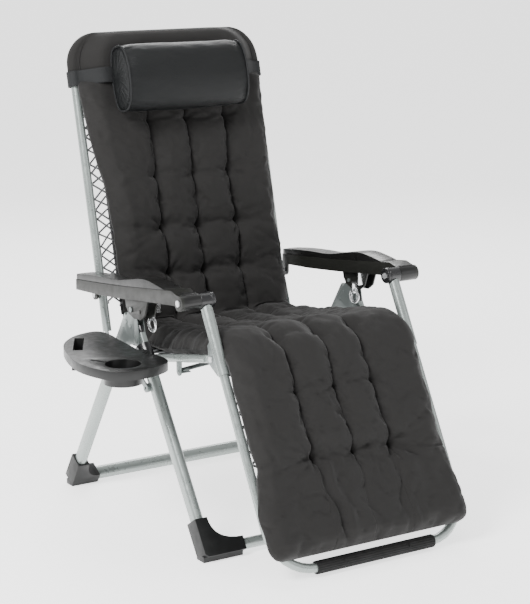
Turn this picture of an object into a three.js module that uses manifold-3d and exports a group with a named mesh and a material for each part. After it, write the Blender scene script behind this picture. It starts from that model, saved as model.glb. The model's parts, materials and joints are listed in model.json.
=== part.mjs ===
// Folding recliner garden chair with a tufted cushion, headrest pillow and side tray.
// Millimetres, +Z up. The sitter faces -Y and +X is the sitter's left.
// Every side view is drawn as (y, z) and extruded along X.

import * as THREE from 'three';
import { mergeVertices } from 'three/addons/utils/BufferGeometryUtils.js';
import Module from 'manifold-3d';

const wasm = await Module();
wasm.setup();

// ---- driving dimensions ----------------------------------------------------------------

const GAP = 0.3; // clearance between pieces that touch

const TUBE_X = 275; // centre plane of the leg, seat and back tubes, from the middle
const TUBE_R = 11.5;
const SLEEVE_R = 14; // thicker upper leg tube
const RAIL_R = 10;
const BACK_BEND = 85; // bend radius of the back frame
const LEG_BEND = 108; // bend radius of the leg frame
const BEND_STEPS = 8; // pieces of each bend's arc

const BASE_X = 328; // centre plane of the standing frame
const OVAL_LONG = 38; // oval tube of the standing frame
const OVAL_SHORT = 26;
const NECK_HALF = 7; // half the thickness of its flattened tops
const BASE_BEND = 55;
const BASE_BAR_Z = 20;

const ARM_IN = 292; // armrest, from the middle
const ARM_OUT = 346;

// pivots, as (y, z)
const ARM_FRONT = [-281, 608];
const SEAT_FRONT = [-325.4, 475];
const ARM_REAR = [237, 531];
const LINK = [SEAT_FRONT[0] - ARM_FRONT[0], SEAT_FRONT[1] - ARM_FRONT[1]];
const SEAT_REAR = [ARM_REAR[0] + LINK[0], ARM_REAR[1] + LINK[1]];
const ARM_BASE = [-43, 549];
const LEG_HINGE = [-58, 474];
const STAY_PIVOT = [-124, 369];

const BACK_TOP = [393, 1171]; // centre of the back frame's top bar
const BACK_LEAN = THREE.MathUtils.degToRad(13.7);
const LEG_LEAN = THREE.MathUtils.degToRad(28.4);
const LEG_LENGTH = 668; // from the front arm pivot to the foot bar
const SLEEVE_LENGTH = 186;

const SLING = 2; // thickness
const SLING_HALF = 247;
const CUSHION_HALF = 256;
const CUSHION_LOW = 5; // cushion's back face, from the sling's middle
const BACK_CUSHION_TOP = 66;
const SEAT_CUSHION_TOP = 62;
const LEG_CUSHION_TOP = 56;

// ---- materials -------------------------------------------------------------------------

const material = (color, roughness, metalness) =>
  new THREE.MeshStandardMaterial({ color, roughness, metalness });
const silver = material(0xbfc7c3, 0.38, 0.55);
const plate = material(0xaab2b0, 0.42, 0.6);
const chrome = material(0xd0d2d4, 0.15, 1.0);
const steel = material(0x9a9d9f, 0.3, 0.9);
const armPlastic = material(0x3a3b36, 0.5, 0.0);
const padPlastic = material(0x2e2f2c, 0.55, 0.0);
const blackPlastic = material(0x1d1e1f, 0.5, 0.0);
const footPlastic = material(0x2c2d2e, 0.6, 0.0);
const foam = material(0x151515, 0.85, 0.0);
const slingFabric = material(0x202122, 0.9, 0.0);
const cushionFabric = material(0x343231, 0.92, 0.0);
const pillowFabric = material(0x26282a, 0.9, 0.0);

// ---- side-view frames ------------------------------------------------------------------

const backUp = [Math.sin(BACK_LEAN), Math.cos(BACK_LEAN)];
const backOut = [-backUp[1], backUp[0]];
const legDown = [-Math.sin(LEG_LEAN), -Math.cos(LEG_LEAN)];
const legOut = [-Math.cos(LEG_LEAN), Math.sin(LEG_LEAN)];

// point of the back: down from the top bar, and out towards the sitter
const backAt = (down, out) => [
  BACK_TOP[0] - backUp[0] * down + backOut[0] * out,
  BACK_TOP[1] - backUp[1] * down + backOut[1] * out,
];
// point of the leg rest: down from the armrest pivot, and out to the front
const legAt = (down, out) => [
  ARM_FRONT[0] + legDown[0] * down + legOut[0] * out,
  ARM_FRONT[1] + legDown[1] * down + legOut[1] * out,
];
// point at a distance and angle (degrees from +Y towards +Z) from a pivot
const polar = (pivot, radius, degrees) => {
  const angle = THREE.MathUtils.degToRad(degrees);
  return [pivot[0] + radius * Math.cos(angle), pivot[1] + radius * Math.sin(angle)];
};

// ---- solids ----------------------------------------------------------------------------

function toSolid(geometry) {
  const bare = geometry.index ? geometry.toNonIndexed() : geometry.clone();
  bare.deleteAttribute('normal');
  bare.deleteAttribute('uv');
  const merged = mergeVertices(bare, 1e-4);
  const mesh = new wasm.Mesh({
    numProp: 3,
    vertProperties: new Float32Array(merged.attributes.position.array),
    triVerts: new Uint32Array(merged.index.array),
  });
  return new wasm.Manifold(mesh);
}

function toGeometry(solid) {
  const mesh = solid.getMesh();
  const geometry = new THREE.BufferGeometry();
  geometry.setAttribute('position', new THREE.BufferAttribute(mesh.vertProperties, 3));
  geometry.setIndex(new THREE.BufferAttribute(mesh.triVerts, 1));
  geometry.computeVertexNormals();
  return geometry;
}

const join = (...solids) => solids.reduce((whole, next) => whole.add(next));
const cut = (whole, ...tools) => tools.reduce((rest, tool) => rest.subtract(tool), whole);

const outline = (points) => new THREE.Shape(points.map(([u, v]) => new THREE.Vector2(u, v)));

// side-view shape in (y, z), extruded from one x to another
function slab(shape, xFrom, xTo, curveSegments = 6) {
  const low = Math.min(xFrom, xTo);
  const depth = Math.abs(xTo - xFrom);
  const geometry = new THREE.ExtrudeGeometry(shape, { depth, bevelEnabled: false, curveSegments });
  const turn = new THREE.Matrix4().makeBasis(
    new THREE.Vector3(0, 1, 0),
    new THREE.Vector3(0, 0, 1),
    new THREE.Vector3(1, 0, 0),
  );
  geometry.applyMatrix4(turn);
  geometry.translate(low, 0, 0);
  return toSolid(geometry);
}

// plan-view shape in (x, y), extruded from one z to another
function layer(shape, zFrom, zTo, curveSegments = 6) {
  const depth = zTo - zFrom;
  const geometry = new THREE.ExtrudeGeometry(shape, { depth, bevelEnabled: false, curveSegments });
  geometry.translate(0, 0, zFrom);
  return toSolid(geometry);
}

// cylinder along X
function rod([y, z], xFrom, xTo, radius, segments = 20) {
  const geometry = new THREE.CylinderGeometry(radius, radius, Math.abs(xTo - xFrom), segments);
  geometry.rotateZ(Math.PI / 2);
  geometry.translate((xFrom + xTo) / 2, y, z);
  return toSolid(geometry);
}

// cylinder along Z
function post(x, y, zFrom, zTo, radius, segments = 32) {
  const geometry = new THREE.CylinderGeometry(radius, radius, zTo - zFrom, segments);
  geometry.rotateX(Math.PI / 2);
  geometry.translate(x, y, (zFrom + zTo) / 2);
  return toSolid(geometry);
}

function box(xFrom, xTo, yFrom, yTo, zFrom, zTo) {
  const geometry = new THREE.BoxGeometry(Math.abs(xTo - xFrom), yTo - yFrom, zTo - zFrom);
  geometry.translate((xFrom + xTo) / 2, (yFrom + yTo) / 2, (zFrom + zTo) / 2);
  return toSolid(geometry);
}

function circle(radius) {
  const shape = new THREE.Shape();
  shape.absarc(0, 0, radius, 0, 2 * Math.PI, false);
  return shape;
}

// flat-oval section: the long side lies across the bend plane
function oval(short, long) {
  const shape = new THREE.Shape();
  const end = short / 2;
  const straight = long / 2 - end;
  shape.absarc(0, straight, end, 0, Math.PI, false);
  shape.absarc(0, -straight, end, Math.PI, 2 * Math.PI, false);
  return shape;
}

// A route in one plane. Its points are used as they are, and the section never twists.
class PlaneRoute extends THREE.Curve {
  constructor(points, planeNormal) {
    super();
    this.points = points;
    this.planeNormal = planeNormal.clone().normalize();
  }

  getPoint(t) {
    const place = t * (this.points.length - 1);
    const index = Math.min(Math.floor(place), this.points.length - 2);
    return this.points[index].clone().lerp(this.points[index + 1], place - index);
  }

  getSpacedPoints() {
    return this.points;
  }

  computeFrenetFrames() {
    const last = this.points.length - 1;
    const tangents = this.points.map((point, index) => {
      const before = this.points[Math.max(index - 1, 0)];
      const after = this.points[Math.min(index + 1, last)];
      const arriving = point.clone().sub(before).normalize();
      const leaving = after.clone().sub(point).normalize();
      return arriving.add(leaving).normalize();
    });
    const binormals = tangents.map(() => this.planeNormal.clone());
    const normals = tangents.map((tangent) => this.planeNormal.clone().cross(tangent).normalize());
    return { tangents, normals, binormals };
  }
}

// replaces each inner corner of a polyline by an arc
function rounded(corners, radius, arcSteps) {
  const points = [corners[0]];
  for (let i = 1; i < corners.length - 1; i += 1) {
    const toPrevious = corners[i - 1].clone().sub(corners[i]).normalize();
    const toNext = corners[i + 1].clone().sub(corners[i]).normalize();
    const halfAngle = toPrevious.angleTo(toNext) / 2;
    const reach = radius / Math.tan(halfAngle);
    const middle = toPrevious.clone().add(toNext).normalize();
    const centre = corners[i].clone().addScaledVector(middle, radius / Math.sin(halfAngle));
    const from = corners[i].clone().addScaledVector(toPrevious, reach).sub(centre);
    const to = corners[i].clone().addScaledVector(toNext, reach).sub(centre);
    const sweepAngle = from.angleTo(to);
    const axis = from.clone().cross(to).normalize();
    for (let k = 0; k <= arcSteps; k += 1) {
      points.push(from.clone().applyAxisAngle(axis, (sweepAngle * k) / arcSteps).add(centre));
    }
  }
  points.push(corners[corners.length - 1]);
  return points;
}

function sweep(section, points, planeNormal, curveSegments = 6) {
  const geometry = new THREE.ExtrudeGeometry(section, {
    steps: points.length - 1,
    extrudePath: new PlaneRoute(points, planeNormal),
    curveSegments,
    bevelEnabled: false,
  });
  return toSolid(geometry);
}

const at = (x, [y, z]) => new THREE.Vector3(x, y, z);
const X_AXIS = new THREE.Vector3(1, 0, 0);

// normal of the plane that holds the X axis and a side-view direction
const planeOf = ([y, z]) => new THREE.Vector3(0, -z, y);

// route of a U frame: down one side, across, and up the other
function uRoute(halfWidth, top, bottom, bend, arcSteps) {
  const corners = [
    at(-halfWidth, top),
    at(-halfWidth, bottom),
    at(halfWidth, bottom),
    at(halfWidth, top),
  ];
  return rounded(corners, bend, arcSteps);
}

// ---- scene graph -----------------------------------------------------------------------

const chair = new THREE.Group();
const base = new THREE.Group();
const legRest = new THREE.Group();
const seat = new THREE.Group();
const back = new THREE.Group();
chair.add(base, legRest, seat, back);

function add(parent, name, solid, look) {
  const mesh = new THREE.Mesh(toGeometry(solid), look);
  mesh.name = name;
  parent.add(mesh);
}

const SIDES = [
  { sign: -1, tag: 'right' },
  { sign: 1, tag: 'left' },
];

// ---- leg rest --------------------------------------------------------------------------

const BOLT_R = 5;
const BOLT_HOLE_R = 5.3;
const PIVOT_R = 4;
const PIVOT_HOLE_R = 4.3;
const HUB_R = 19;
const HUB_IN = 254;
const WEB_IN = 281; // hinge webs sit beside the flattened rail ends
const WEB_OUT = 284.5;

function legHub(s) {
  const barrel = rod(ARM_FRONT, s * HUB_IN, s * (ARM_IN - GAP), HUB_R, 32);
  const flange = rod(ARM_FRONT, s * (HUB_IN + 6), s * (HUB_IN + 9), HUB_R + 1.2, 32);
  return cut(join(barrel, flange), rod(ARM_FRONT, s * 250, s * 300, BOLT_HOLE_R));
}

function upperLegTube(s) {
  const route = [at(s * TUBE_X, ARM_FRONT), at(s * TUBE_X, legAt(SLEEVE_LENGTH, 0))];
  const tube = sweep(circle(SLEEVE_R), route, X_AXIS, 12);
  return cut(tube, rod(ARM_FRONT, s * 240, s * 310, HUB_R + 1.2 + GAP, 28));
}

function legFrame() {
  const top = legAt(SLEEVE_LENGTH + GAP, 0);
  const route = uRoute(TUBE_X, top, legAt(LEG_LENGTH, 0), LEG_BEND, BEND_STEPS);
  return sweep(circle(TUBE_R), route, planeOf(legDown), 9);
}

// triangular web behind the upper leg tube, which holds the seat's front pivot
function legWeb(s) {
  const corners = [
    legAt(96, -6),
    legAt(104, -24),
    polar(SEAT_FRONT, 16, 40),
    polar(SEAT_FRONT, 16, 0),
    polar(SEAT_FRONT, 17, -45),
    legAt(SLEEVE_LENGTH - 4, -15),
    legAt(SLEEVE_LENGTH - 2, -6),
  ];
  const web = slab(outline(corners), s * WEB_IN, s * WEB_OUT);
  const route = [at(s * TUBE_X, legAt(40, 0)), at(s * TUBE_X, legAt(SLEEVE_LENGTH + 40, 0))];
  const tube = sweep(circle(SLEEVE_R + GAP), route, X_AXIS, 12);
  return cut(web, tube, rod(SEAT_FRONT, s * 270, s * 300, PIVOT_HOLE_R));
}

function pivotBolt(s, pivot, xIn, xOut, radius, headRadius, headHeight) {
  const shank = rod(pivot, s * xIn, s * xOut, radius);
  const inner = rod(pivot, s * (xIn - headHeight), s * xIn, headRadius, 6);
  const outer = rod(pivot, s * xOut, s * (xOut + headHeight), headRadius);
  return join(shank, inner, outer);
}

const ROLLER_HALF = 170;
const ROLLER_R = 16;
const ROLLER_RIBS = 18;
const ROLLER_SCREW_X = 94;

function roller() {
  const centre = legAt(LEG_LENGTH, 0);
  const section = new THREE.Shape();
  for (let k = 0; k < 2 * ROLLER_RIBS; k += 1) {
    const angle = (Math.PI * k) / ROLLER_RIBS;
    const radius = k % 2 ? ROLLER_R : ROLLER_R - 1.2;
    const point = [radius * Math.cos(angle), radius * Math.sin(angle)];
    if (k === 0) section.moveTo(...point);
    else section.lineTo(...point);
  }
  section.closePath();
  const ribbed = slab(section, -ROLLER_HALF, ROLLER_HALF).translate([0, centre[0], centre[1]]);
  const grip = cut(ribbed, rod(centre, -300, 300, TUBE_R + 2 * GAP, 28));
  const screws = SIDES.map(({ sign }) => {
    const head = new THREE.CylinderGeometry(4, 4, 6, 12);
    head.rotateX(-LEG_LEAN);
    const [y, z] = legAt(LEG_LENGTH, ROLLER_R - 0.5);
    head.translate(sign * ROLLER_SCREW_X, y, z);
    return toSolid(head);
  });
  return join(grip, ...screws);
}

const LEG_SLING_END = 594;

function legSling() {
  const half = SLING / 2;
  const corners = [
    legAt(150, -half),
    legAt(150, half),
    legAt(LEG_SLING_END, half),
    legAt(LEG_SLING_END, -half),
  ];
  return slab(outline(corners), -SLING_HALF, SLING_HALF);
}

const KNEE_SEAT_ANGLE = 97; // radial planes at the front pivot, degrees from +Y
const KNEE_LEG_ANGLE = 147;

function legCushion() {
  const corners = [
    polar(SEAT_FRONT, 38, KNEE_LEG_ANGLE),
    polar(SEAT_FRONT, 92, KNEE_LEG_ANGLE),
    legAt(190, LEG_CUSHION_TOP),
    legAt(620, LEG_CUSHION_TOP - 6),
    legAt(636, LEG_CUSHION_TOP / 2),
    legAt(626, 17),
    legAt(604, 12.4),
    legAt(LEG_SLING_END, CUSHION_LOW),
    legAt(180, CUSHION_LOW),
  ];
  return slab(outline(corners), -CUSHION_HALF + 6, CUSHION_HALF - 6);
}

for (const { sign, tag } of SIDES) {
  add(legRest, `leg_hub_${tag}`, legHub(sign), blackPlastic);
  add(legRest, `leg_upper_tube_${tag}`, upperLegTube(sign), silver);
  add(legRest, `leg_hinge_web_${tag}`, legWeb(sign), plate);
  const seatBolt = pivotBolt(sign, SEAT_FRONT, 264.4, WEB_OUT + GAP, PIVOT_R, 7.5, 3);
  add(legRest, `seat_front_pivot_${tag}`, seatBolt, steel);
}
add(legRest, 'leg_u_frame', legFrame(), silver);
add(legRest, 'foot_bar_grip', roller(), foam);
add(legRest, 'leg_sling', legSling(), slingFabric);
add(legRest, 'leg_cushion', legCushion(), cushionFabric);

// ---- seat ------------------------------------------------------------------------------

const RAIL_KNEE = [-20, 413]; // where the seat rail bends to level
const BRACKET_Y = -170;
const CROSS_BAR_DROP = 26; // below the rail's middle

// height of the rail's middle line at a given y
function railHeight(y) {
  const [from, to] = y < RAIL_KNEE[0] ? [SEAT_FRONT, RAIL_KNEE] : [RAIL_KNEE, SEAT_REAR];
  return from[1] + ((to[1] - from[1]) * (y - from[0])) / (to[0] - from[0]);
}

function seatRail(s) {
  const corners = [SEAT_FRONT, RAIL_KNEE, SEAT_REAR].map((point) => at(s * TUBE_X, point));
  const tube = sweep(circle(RAIL_R), rounded(corners, 160, 6), X_AXIS, 10);
  const ends = [SEAT_FRONT, SEAT_REAR].map((point) =>
    rod(point, s * (TUBE_X - RAIL_R), s * TUBE_X, RAIL_R));
  const flats = [SEAT_FRONT, SEAT_REAR].map(([y, z]) =>
    box(s * (WEB_IN - GAP), s * 300, y - 34, y + 34, z - 34, z + 34));
  const holes = [SEAT_FRONT, SEAT_REAR].map((point) => rod(point, s * 250, s * 300, PIVOT_HOLE_R));
  const inner = [SEAT_FRONT, SEAT_REAR].map(([y, z]) =>
    box(s * 250, s * 267.7, y - 22, y + 22, z - 22, z + 22));
  return cut(join(tube, ...ends), ...flats, ...inner, ...holes);
}

// angle bracket under the rail that carries the cross bar
function crossBarBracket(s) {
  const z = railHeight(BRACKET_Y);
  const tab = new THREE.Shape();
  const low = z - CROSS_BAR_DROP - 6;
  tab.moveTo(BRACKET_Y + 11, z - 4);
  tab.lineTo(BRACKET_Y - 11, z - 2);
  tab.lineTo(BRACKET_Y - 11, low);
  tab.absarc(BRACKET_Y, low, 11, Math.PI, 2 * Math.PI, false);
  tab.closePath();
  const wall = slab(tab, s * (TUBE_X + 5), s * (TUBE_X + 8));
  const shelf = box(s * 255, s * (TUBE_X + 8), BRACKET_Y - 11, BRACKET_Y + 11, low - 3, low);
  const route = [SEAT_FRONT, RAIL_KNEE].map((point) => at(s * TUBE_X, point));
  const clearance = sweep(circle(RAIL_R + GAP), route, X_AXIS, 10);
  const rivet = rod([BRACKET_Y, low + 2], s * (TUBE_X + 8), s * (TUBE_X + 10), 4, 16);
  return cut(join(wall, shelf, rivet), clearance);
}

// bowed flat bar from bracket to bracket
function crossBar() {
  const z = railHeight(BRACKET_Y) - CROSS_BAR_DROP - 6 + GAP;
  const half = 274;
  const bow = 16;
  const steps = 12;
  const points = [];
  for (let k = 0; k <= steps; k += 1) {
    const t = (2 * k) / steps - 1;
    points.push(new THREE.Vector3(t * half, BRACKET_Y, z + 2.5 + bow * (1 - t * t)));
  }
  const section = outline([[-2.2, -10], [2.2, -10], [2.2, 10], [-2.2, 10]]);
  const bar = sweep(section, points, new THREE.Vector3(0, 1, 0));
  return cut(bar, box(-400, 400, BRACKET_Y - 30, BRACKET_Y + 30, z - 30, z));
}

// points along the rail line, lifted
const alongRail = (ys, lift) => ys.map((y) => [y, railHeight(y) + lift]);
const SEAT_YS = [-300, RAIL_KNEE[0], 176];

function seatSling() {
  const upper = alongRail(SEAT_YS, SLING / 2);
  const lower = alongRail(SEAT_YS, -SLING / 2).reverse();
  return slab(outline([...upper, ...lower]), -SLING_HALF, SLING_HALF);
}

function seatCushion() {
  const upper = alongRail([-150, RAIL_KNEE[0], 120], SEAT_CUSHION_TOP);
  const lower = alongRail(SEAT_YS, CUSHION_LOW).reverse();
  const corners = [
    polar(SEAT_FRONT, 20, KNEE_SEAT_ANGLE),
    polar(SEAT_FRONT, 58, KNEE_SEAT_ANGLE),
    [-300, 526],
    [-230, 514],
    ...upper,
    [168, 449],
    [186, 430],
    ...lower,
  ];
  return slab(outline(corners), -CUSHION_HALF, CUSHION_HALF);
}

// rounded knee between the seat and leg cushions
function kneeCushion() {
  const from = KNEE_SEAT_ANGLE + 1;
  const to = KNEE_LEG_ANGLE - 1;
  const steps = 5;
  const corners = [];
  for (let k = 0; k <= steps; k += 1) {
    const t = k / steps;
    corners.push(polar(SEAT_FRONT, 58 + 34 * t, from + (to - from) * t));
  }
  for (let k = steps; k >= 0; k -= 1) {
    const t = k / steps;
    corners.push(polar(SEAT_FRONT, 20 + 18 * t, from + (to - from) * t));
  }
  return slab(outline(corners), -CUSHION_HALF + 3, CUSHION_HALF - 3);
}

for (const { sign, tag } of SIDES) {
  add(seat, `seat_rail_${tag}`, seatRail(sign), silver);
  add(seat, `cross_bar_bracket_${tag}`, crossBarBracket(sign), plate);
}
add(seat, 'seat_cross_bar', crossBar(), plate);
add(seat, 'seat_sling', seatSling(), slingFabric);
add(seat, 'seat_cushion', seatCushion(), cushionFabric);
add(seat, 'knee_cushion', kneeCushion(), cushionFabric);

// ---- back ------------------------------------------------------------------------------

const BACK_TUBE_END = 758; // down from the top bar

// sweep along the back frame's route, from a given depth on each side
function alongBack(down, radius, curveSegments) {
  const route = uRoute(TUBE_X, backAt(down, 0), BACK_TOP, BACK_BEND, BEND_STEPS);
  return sweep(circle(radius), route, planeOf(backUp), curveSegments);
}

function backFrame() {
  const tube = alongBack(BACK_TUBE_END, TUBE_R, 9);
  const holes = SIDES.map(({ sign }) => rod(ARM_REAR, sign * 250, sign * 300, BOLT_HOLE_R));
  return cut(tube, ...holes);
}

// web at the tube's lower end, which holds the seat's rear pivot
function backWeb(s) {
  const corners = [
    backAt(BACK_TUBE_END - 66, 6),
    backAt(BACK_TUBE_END - 60, 14),
    polar(SEAT_REAR, 15, 130),
    polar(SEAT_REAR, 14, 190),
    polar(SEAT_REAR, 14, 250),
    polar(SEAT_REAR, 14, 310),
    polar(SEAT_REAR, 18, 15),
    backAt(BACK_TUBE_END - 2, 6),
  ];
  const web = slab(outline(corners), s * WEB_IN, s * WEB_OUT);
  const route = [at(s * TUBE_X, backAt(BACK_TUBE_END + GAP, 0)), at(s * TUBE_X, backAt(500, 0))];
  const tube = sweep(circle(TUBE_R + GAP), route, X_AXIS, 12);
  return cut(web, tube, rod(SEAT_REAR, s * 270, s * 300, PIVOT_HOLE_R));
}

function backSling() {
  const half = SLING / 2;
  const corners = [backAt(26, -half), backAt(26, half), backAt(738, half), backAt(738, -half)];
  const sheet = slab(outline(corners), -SLING_HALF, SLING_HALF);
  return cut(sheet, alongBack(BACK_TUBE_END, HOOD_R + 1, 5));
}

function backCushion() {
  const corners = [
    backAt(HOOD_DROP + 6, CUSHION_LOW),
    backAt(HOOD_DROP, HOOD_R + 1),
    backAt(20, HOOD_R + 1),
    backAt(20, BACK_CUSHION_TOP - 26),
    backAt(32, BACK_CUSHION_TOP),
    backAt(690, BACK_CUSHION_TOP),
    backAt(716, BACK_CUSHION_TOP - 14),
    backAt(722, CUSHION_LOW),
  ];
  return slab(outline(corners), -CUSHION_HALF, CUSHION_HALF);
}

const HOOD_DROP = 112; // how far the hood reaches down each side
const HOOD_R = 16;

// sleeve of cloth over the top of the back frame
const hood = () => cut(alongBack(HOOD_DROP, HOOD_R, 6), alongBack(HOOD_DROP + 5, TUBE_R + 2 * GAP, 6));

const PILLOW_X = -16; // the pillow sits a little to the sitter's right
const PILLOW_HALF = 184;
const PILLOW_TOP = 30;
const PILLOW_LOW = 204;
const PILLOW_BACK = 72; // out from the back tubes
const PILLOW_FRONT = 158;

function pillow() {
  const middle = (PILLOW_TOP + PILLOW_LOW) / 2;
  const half = (PILLOW_LOW - PILLOW_TOP) / 2;
  const shape = new THREE.Shape();
  const steps = 16;
  for (let k = 0; k <= steps; k += 1) {
    const angle = (Math.PI * k) / steps;
    const down = middle - half * Math.cos(angle) * 0.999;
    const out = PILLOW_BACK + 14 + (PILLOW_FRONT - PILLOW_BACK - 14) * Math.sin(angle) ** 0.8;
    const point = backAt(down, out);
    if (k === 0) shape.moveTo(...point);
    else shape.lineTo(...point);
  }
  shape.lineTo(...backAt(PILLOW_LOW - 14, PILLOW_BACK));
  shape.lineTo(...backAt(PILLOW_TOP + 14, PILLOW_BACK));
  return slab(shape, PILLOW_X - PILLOW_HALF, PILLOW_X + PILLOW_HALF);
}

const STRAP_HALF = TUBE_X + HOOD_R + 2.5;
const STRAP_FROM = 74; // down from the top bar
const STRAP_TO = 120;
const STRAP_T = 1.6;
const STRAP_FRONT = BACK_CUSHION_TOP + 4;
const STRAP_REAR = -HOOD_R - 2.5;

// prism along the back, drawn in plan as (x, out towards the sitter)
function backPrism(corners, downFrom, downTo) {
  const shape = outline(corners.map(([x, out]) => [x, -out]));
  const geometry = new THREE.ExtrudeGeometry(shape, { depth: downTo - downFrom, bevelEnabled: false });
  const turn = new THREE.Matrix4().makeBasis(
    X_AXIS,
    new THREE.Vector3(0, -backOut[0], -backOut[1]),
    new THREE.Vector3(0, backUp[0], backUp[1]),
  );
  geometry.applyMatrix4(turn);
  geometry.translate(0, ...backAt(downTo, 0));
  return toSolid(geometry);
}

// elastic band around the cushion and the frame, which holds the pillow
function pillowStrap() {
  const half = [
    [STRAP_HALF - 10, STRAP_REAR],
    [STRAP_HALF, STRAP_REAR + 10],
    [STRAP_HALF, 14],
    [STRAP_HALF - 26, STRAP_FRONT],
  ];
  const inner = [...half, ...half.map(([x, out]) => [-x, out]).reverse()];
  const outer = inner.map(([x, out]) => {
    const middle = (STRAP_FRONT + STRAP_REAR) / 2;
    const depth = (STRAP_FRONT - STRAP_REAR) / 2;
    return [x * (1 + STRAP_T / STRAP_HALF), middle + (out - middle) * (1 + STRAP_T / depth)];
  });
  const band = backPrism(outer, STRAP_FROM, STRAP_TO);
  return cut(band, backPrism(inner, STRAP_FROM - 5, STRAP_TO + 5));
}

for (const { sign, tag } of SIDES) {
  add(back, `back_hinge_web_${tag}`, backWeb(sign), plate);
  const seatBolt = pivotBolt(sign, SEAT_REAR, 264.4, WEB_OUT + GAP, PIVOT_R, 7.5, 3);
  add(back, `seat_rear_pivot_${tag}`, seatBolt, steel);
  const armBolt = pivotBolt(sign, ARM_REAR, 262, 298.4, BOLT_R, 8, 3);
  add(back, `arm_rear_pivot_${tag}`, armBolt, steel);
}
add(back, 'back_u_frame', backFrame(), silver);
add(back, 'back_sling', backSling(), slingFabric);
add(back, 'back_cushion', backCushion(), cushionFabric);
add(back, 'cushion_hood', hood(), cushionFabric);
add(back, 'headrest_pillow', pillow(), pillowFabric);
add(back, 'pillow_strap', pillowStrap(), pillowFabric);

// ---- standing frame --------------------------------------------------------------------

const REAR_LEG_TOP = [-8, 521];
const REAR_FOOT = [315, BASE_BAR_Z];
const FRONT_FOOT = [-371, BASE_BAR_Z];
const FRONT_LEG_TOP = [-61, 487];
const CAP_LENGTH = 20;

const direction = (from, to) => {
  const length = Math.hypot(to[0] - from[0], to[1] - from[1]);
  return [(to[0] - from[0]) / length, (to[1] - from[1]) / length];
};
const along = (from, to, distance) => {
  const [dy, dz] = direction(from, to);
  return [from[0] + dy * distance, from[1] + dz * distance];
};

// U frame of oval tube whose tops are pressed flat above a height
function ovalFrame(top, foot, neckFrom) {
  const route = uRoute(BASE_X, top, foot, BASE_BEND, BEND_STEPS);
  const frame = sweep(oval(OVAL_SHORT, OVAL_LONG), route, planeOf(direction(top, foot)), 4);
  const presses = SIDES.flatMap(({ sign: s }) => [
    box(s * (BASE_X - 30), s * (BASE_X - NECK_HALF), -200, 200, neckFrom, 600),
    box(s * (BASE_X + NECK_HALF), s * (BASE_X + 30), -200, 200, neckFrom, 600),
  ]);
  return cut(frame, ...presses);
}

const RIVETS = [[-7, 511], [8, 488]]; // through the rear leg and both web plates
const PLATE_RIVET = [-29, 503];
const WEB_BASE_OUT = BASE_X + 9.8;
const WEB_BASE_IN = BASE_X - 9.8;
const RIVET_HEAD = 1.6;

function rearLegFrame() {
  const holes = SIDES.flatMap(({ sign }) =>
    RIVETS.map((point) => rod(point, sign * 300, sign * 360, PIVOT_HOLE_R, 16)));
  return cut(ovalFrame(REAR_LEG_TOP, REAR_FOOT, 438), ...holes);
}

function frontLegFrame() {
  const holes = SIDES.map(({ sign }) => rod(LEG_HINGE, sign * 300, sign * 360, BOLT_HOLE_R));
  return cut(ovalFrame(FRONT_LEG_TOP, FRONT_FOOT, 452), ...holes);
}

const BRACKET_OUT = BASE_X + 15; // armrest bracket's faces
const BRACKET_IN = BASE_X - 16;

// pair of plates that holds the rear leg, the armrest pivot and the front leg's hinge
function topWeb(s) {
  const shape = new THREE.Shape();
  shape.moveTo(...polar(ARM_BASE, 14, 10));
  shape.lineTo(...polar(ARM_BASE, 14, 60));
  shape.lineTo(...polar(ARM_BASE, 14, 110));
  shape.lineTo(...polar(ARM_BASE, 14, 165));
  shape.lineTo(...polar(LEG_HINGE, 17, 160));
  shape.lineTo(...polar(LEG_HINGE, 17, 210));
  shape.lineTo(...polar(LEG_HINGE, 17, 260));
  shape.lineTo(...polar(LEG_HINGE, 17, 310));
  shape.lineTo(-4, 450);
  shape.lineTo(40, 449);
  shape.lineTo(48, 460);
  shape.closePath();
  const outer = slab(shape, s * (BASE_X + NECK_HALF + GAP), s * WEB_BASE_OUT);
  const inner = slab(shape, s * WEB_BASE_IN, s * (BASE_X - NECK_HALF - GAP));
  const pin = (point, radius) =>
    rod(point, s * (WEB_BASE_IN - RIVET_HEAD), s * (WEB_BASE_OUT + RIVET_HEAD), radius, 16);
  const head = (point, radius) =>
    rod(point, s * (WEB_BASE_OUT - 1), s * (WEB_BASE_OUT + RIVET_HEAD), radius, 16);
  const pins = RIVETS.map((point) => pin(point, PIVOT_R));
  const heads = [...RIVETS, PLATE_RIVET].map((point) => head(point, 6));
  const hinge = join(pin(LEG_HINGE, BOLT_R), head(LEG_HINGE, 8));
  const armPin = rod(ARM_BASE, s * (BRACKET_IN - 3), s * (BRACKET_OUT + 2.4), BOLT_R);
  const armHead = rod(ARM_BASE, s * (BRACKET_OUT + GAP), s * (BRACKET_OUT + 2.4), 7);
  return join(outer, inner, hinge, armPin, armHead, ...pins, ...heads);
}

// plug on the front leg's open end
function legCap(s) {
  const normal = planeOf(direction(FRONT_LEG_TOP, FRONT_FOOT));
  const ends = [-CAP_LENGTH, -GAP].map((distance) =>
    at(s * BASE_X, along(FRONT_LEG_TOP, FRONT_FOOT, distance)));
  return sweep(oval(2 * NECK_HALF, OVAL_LONG), ends, normal, 4);
}

const SHOE_WALL = 3.5;

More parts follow.
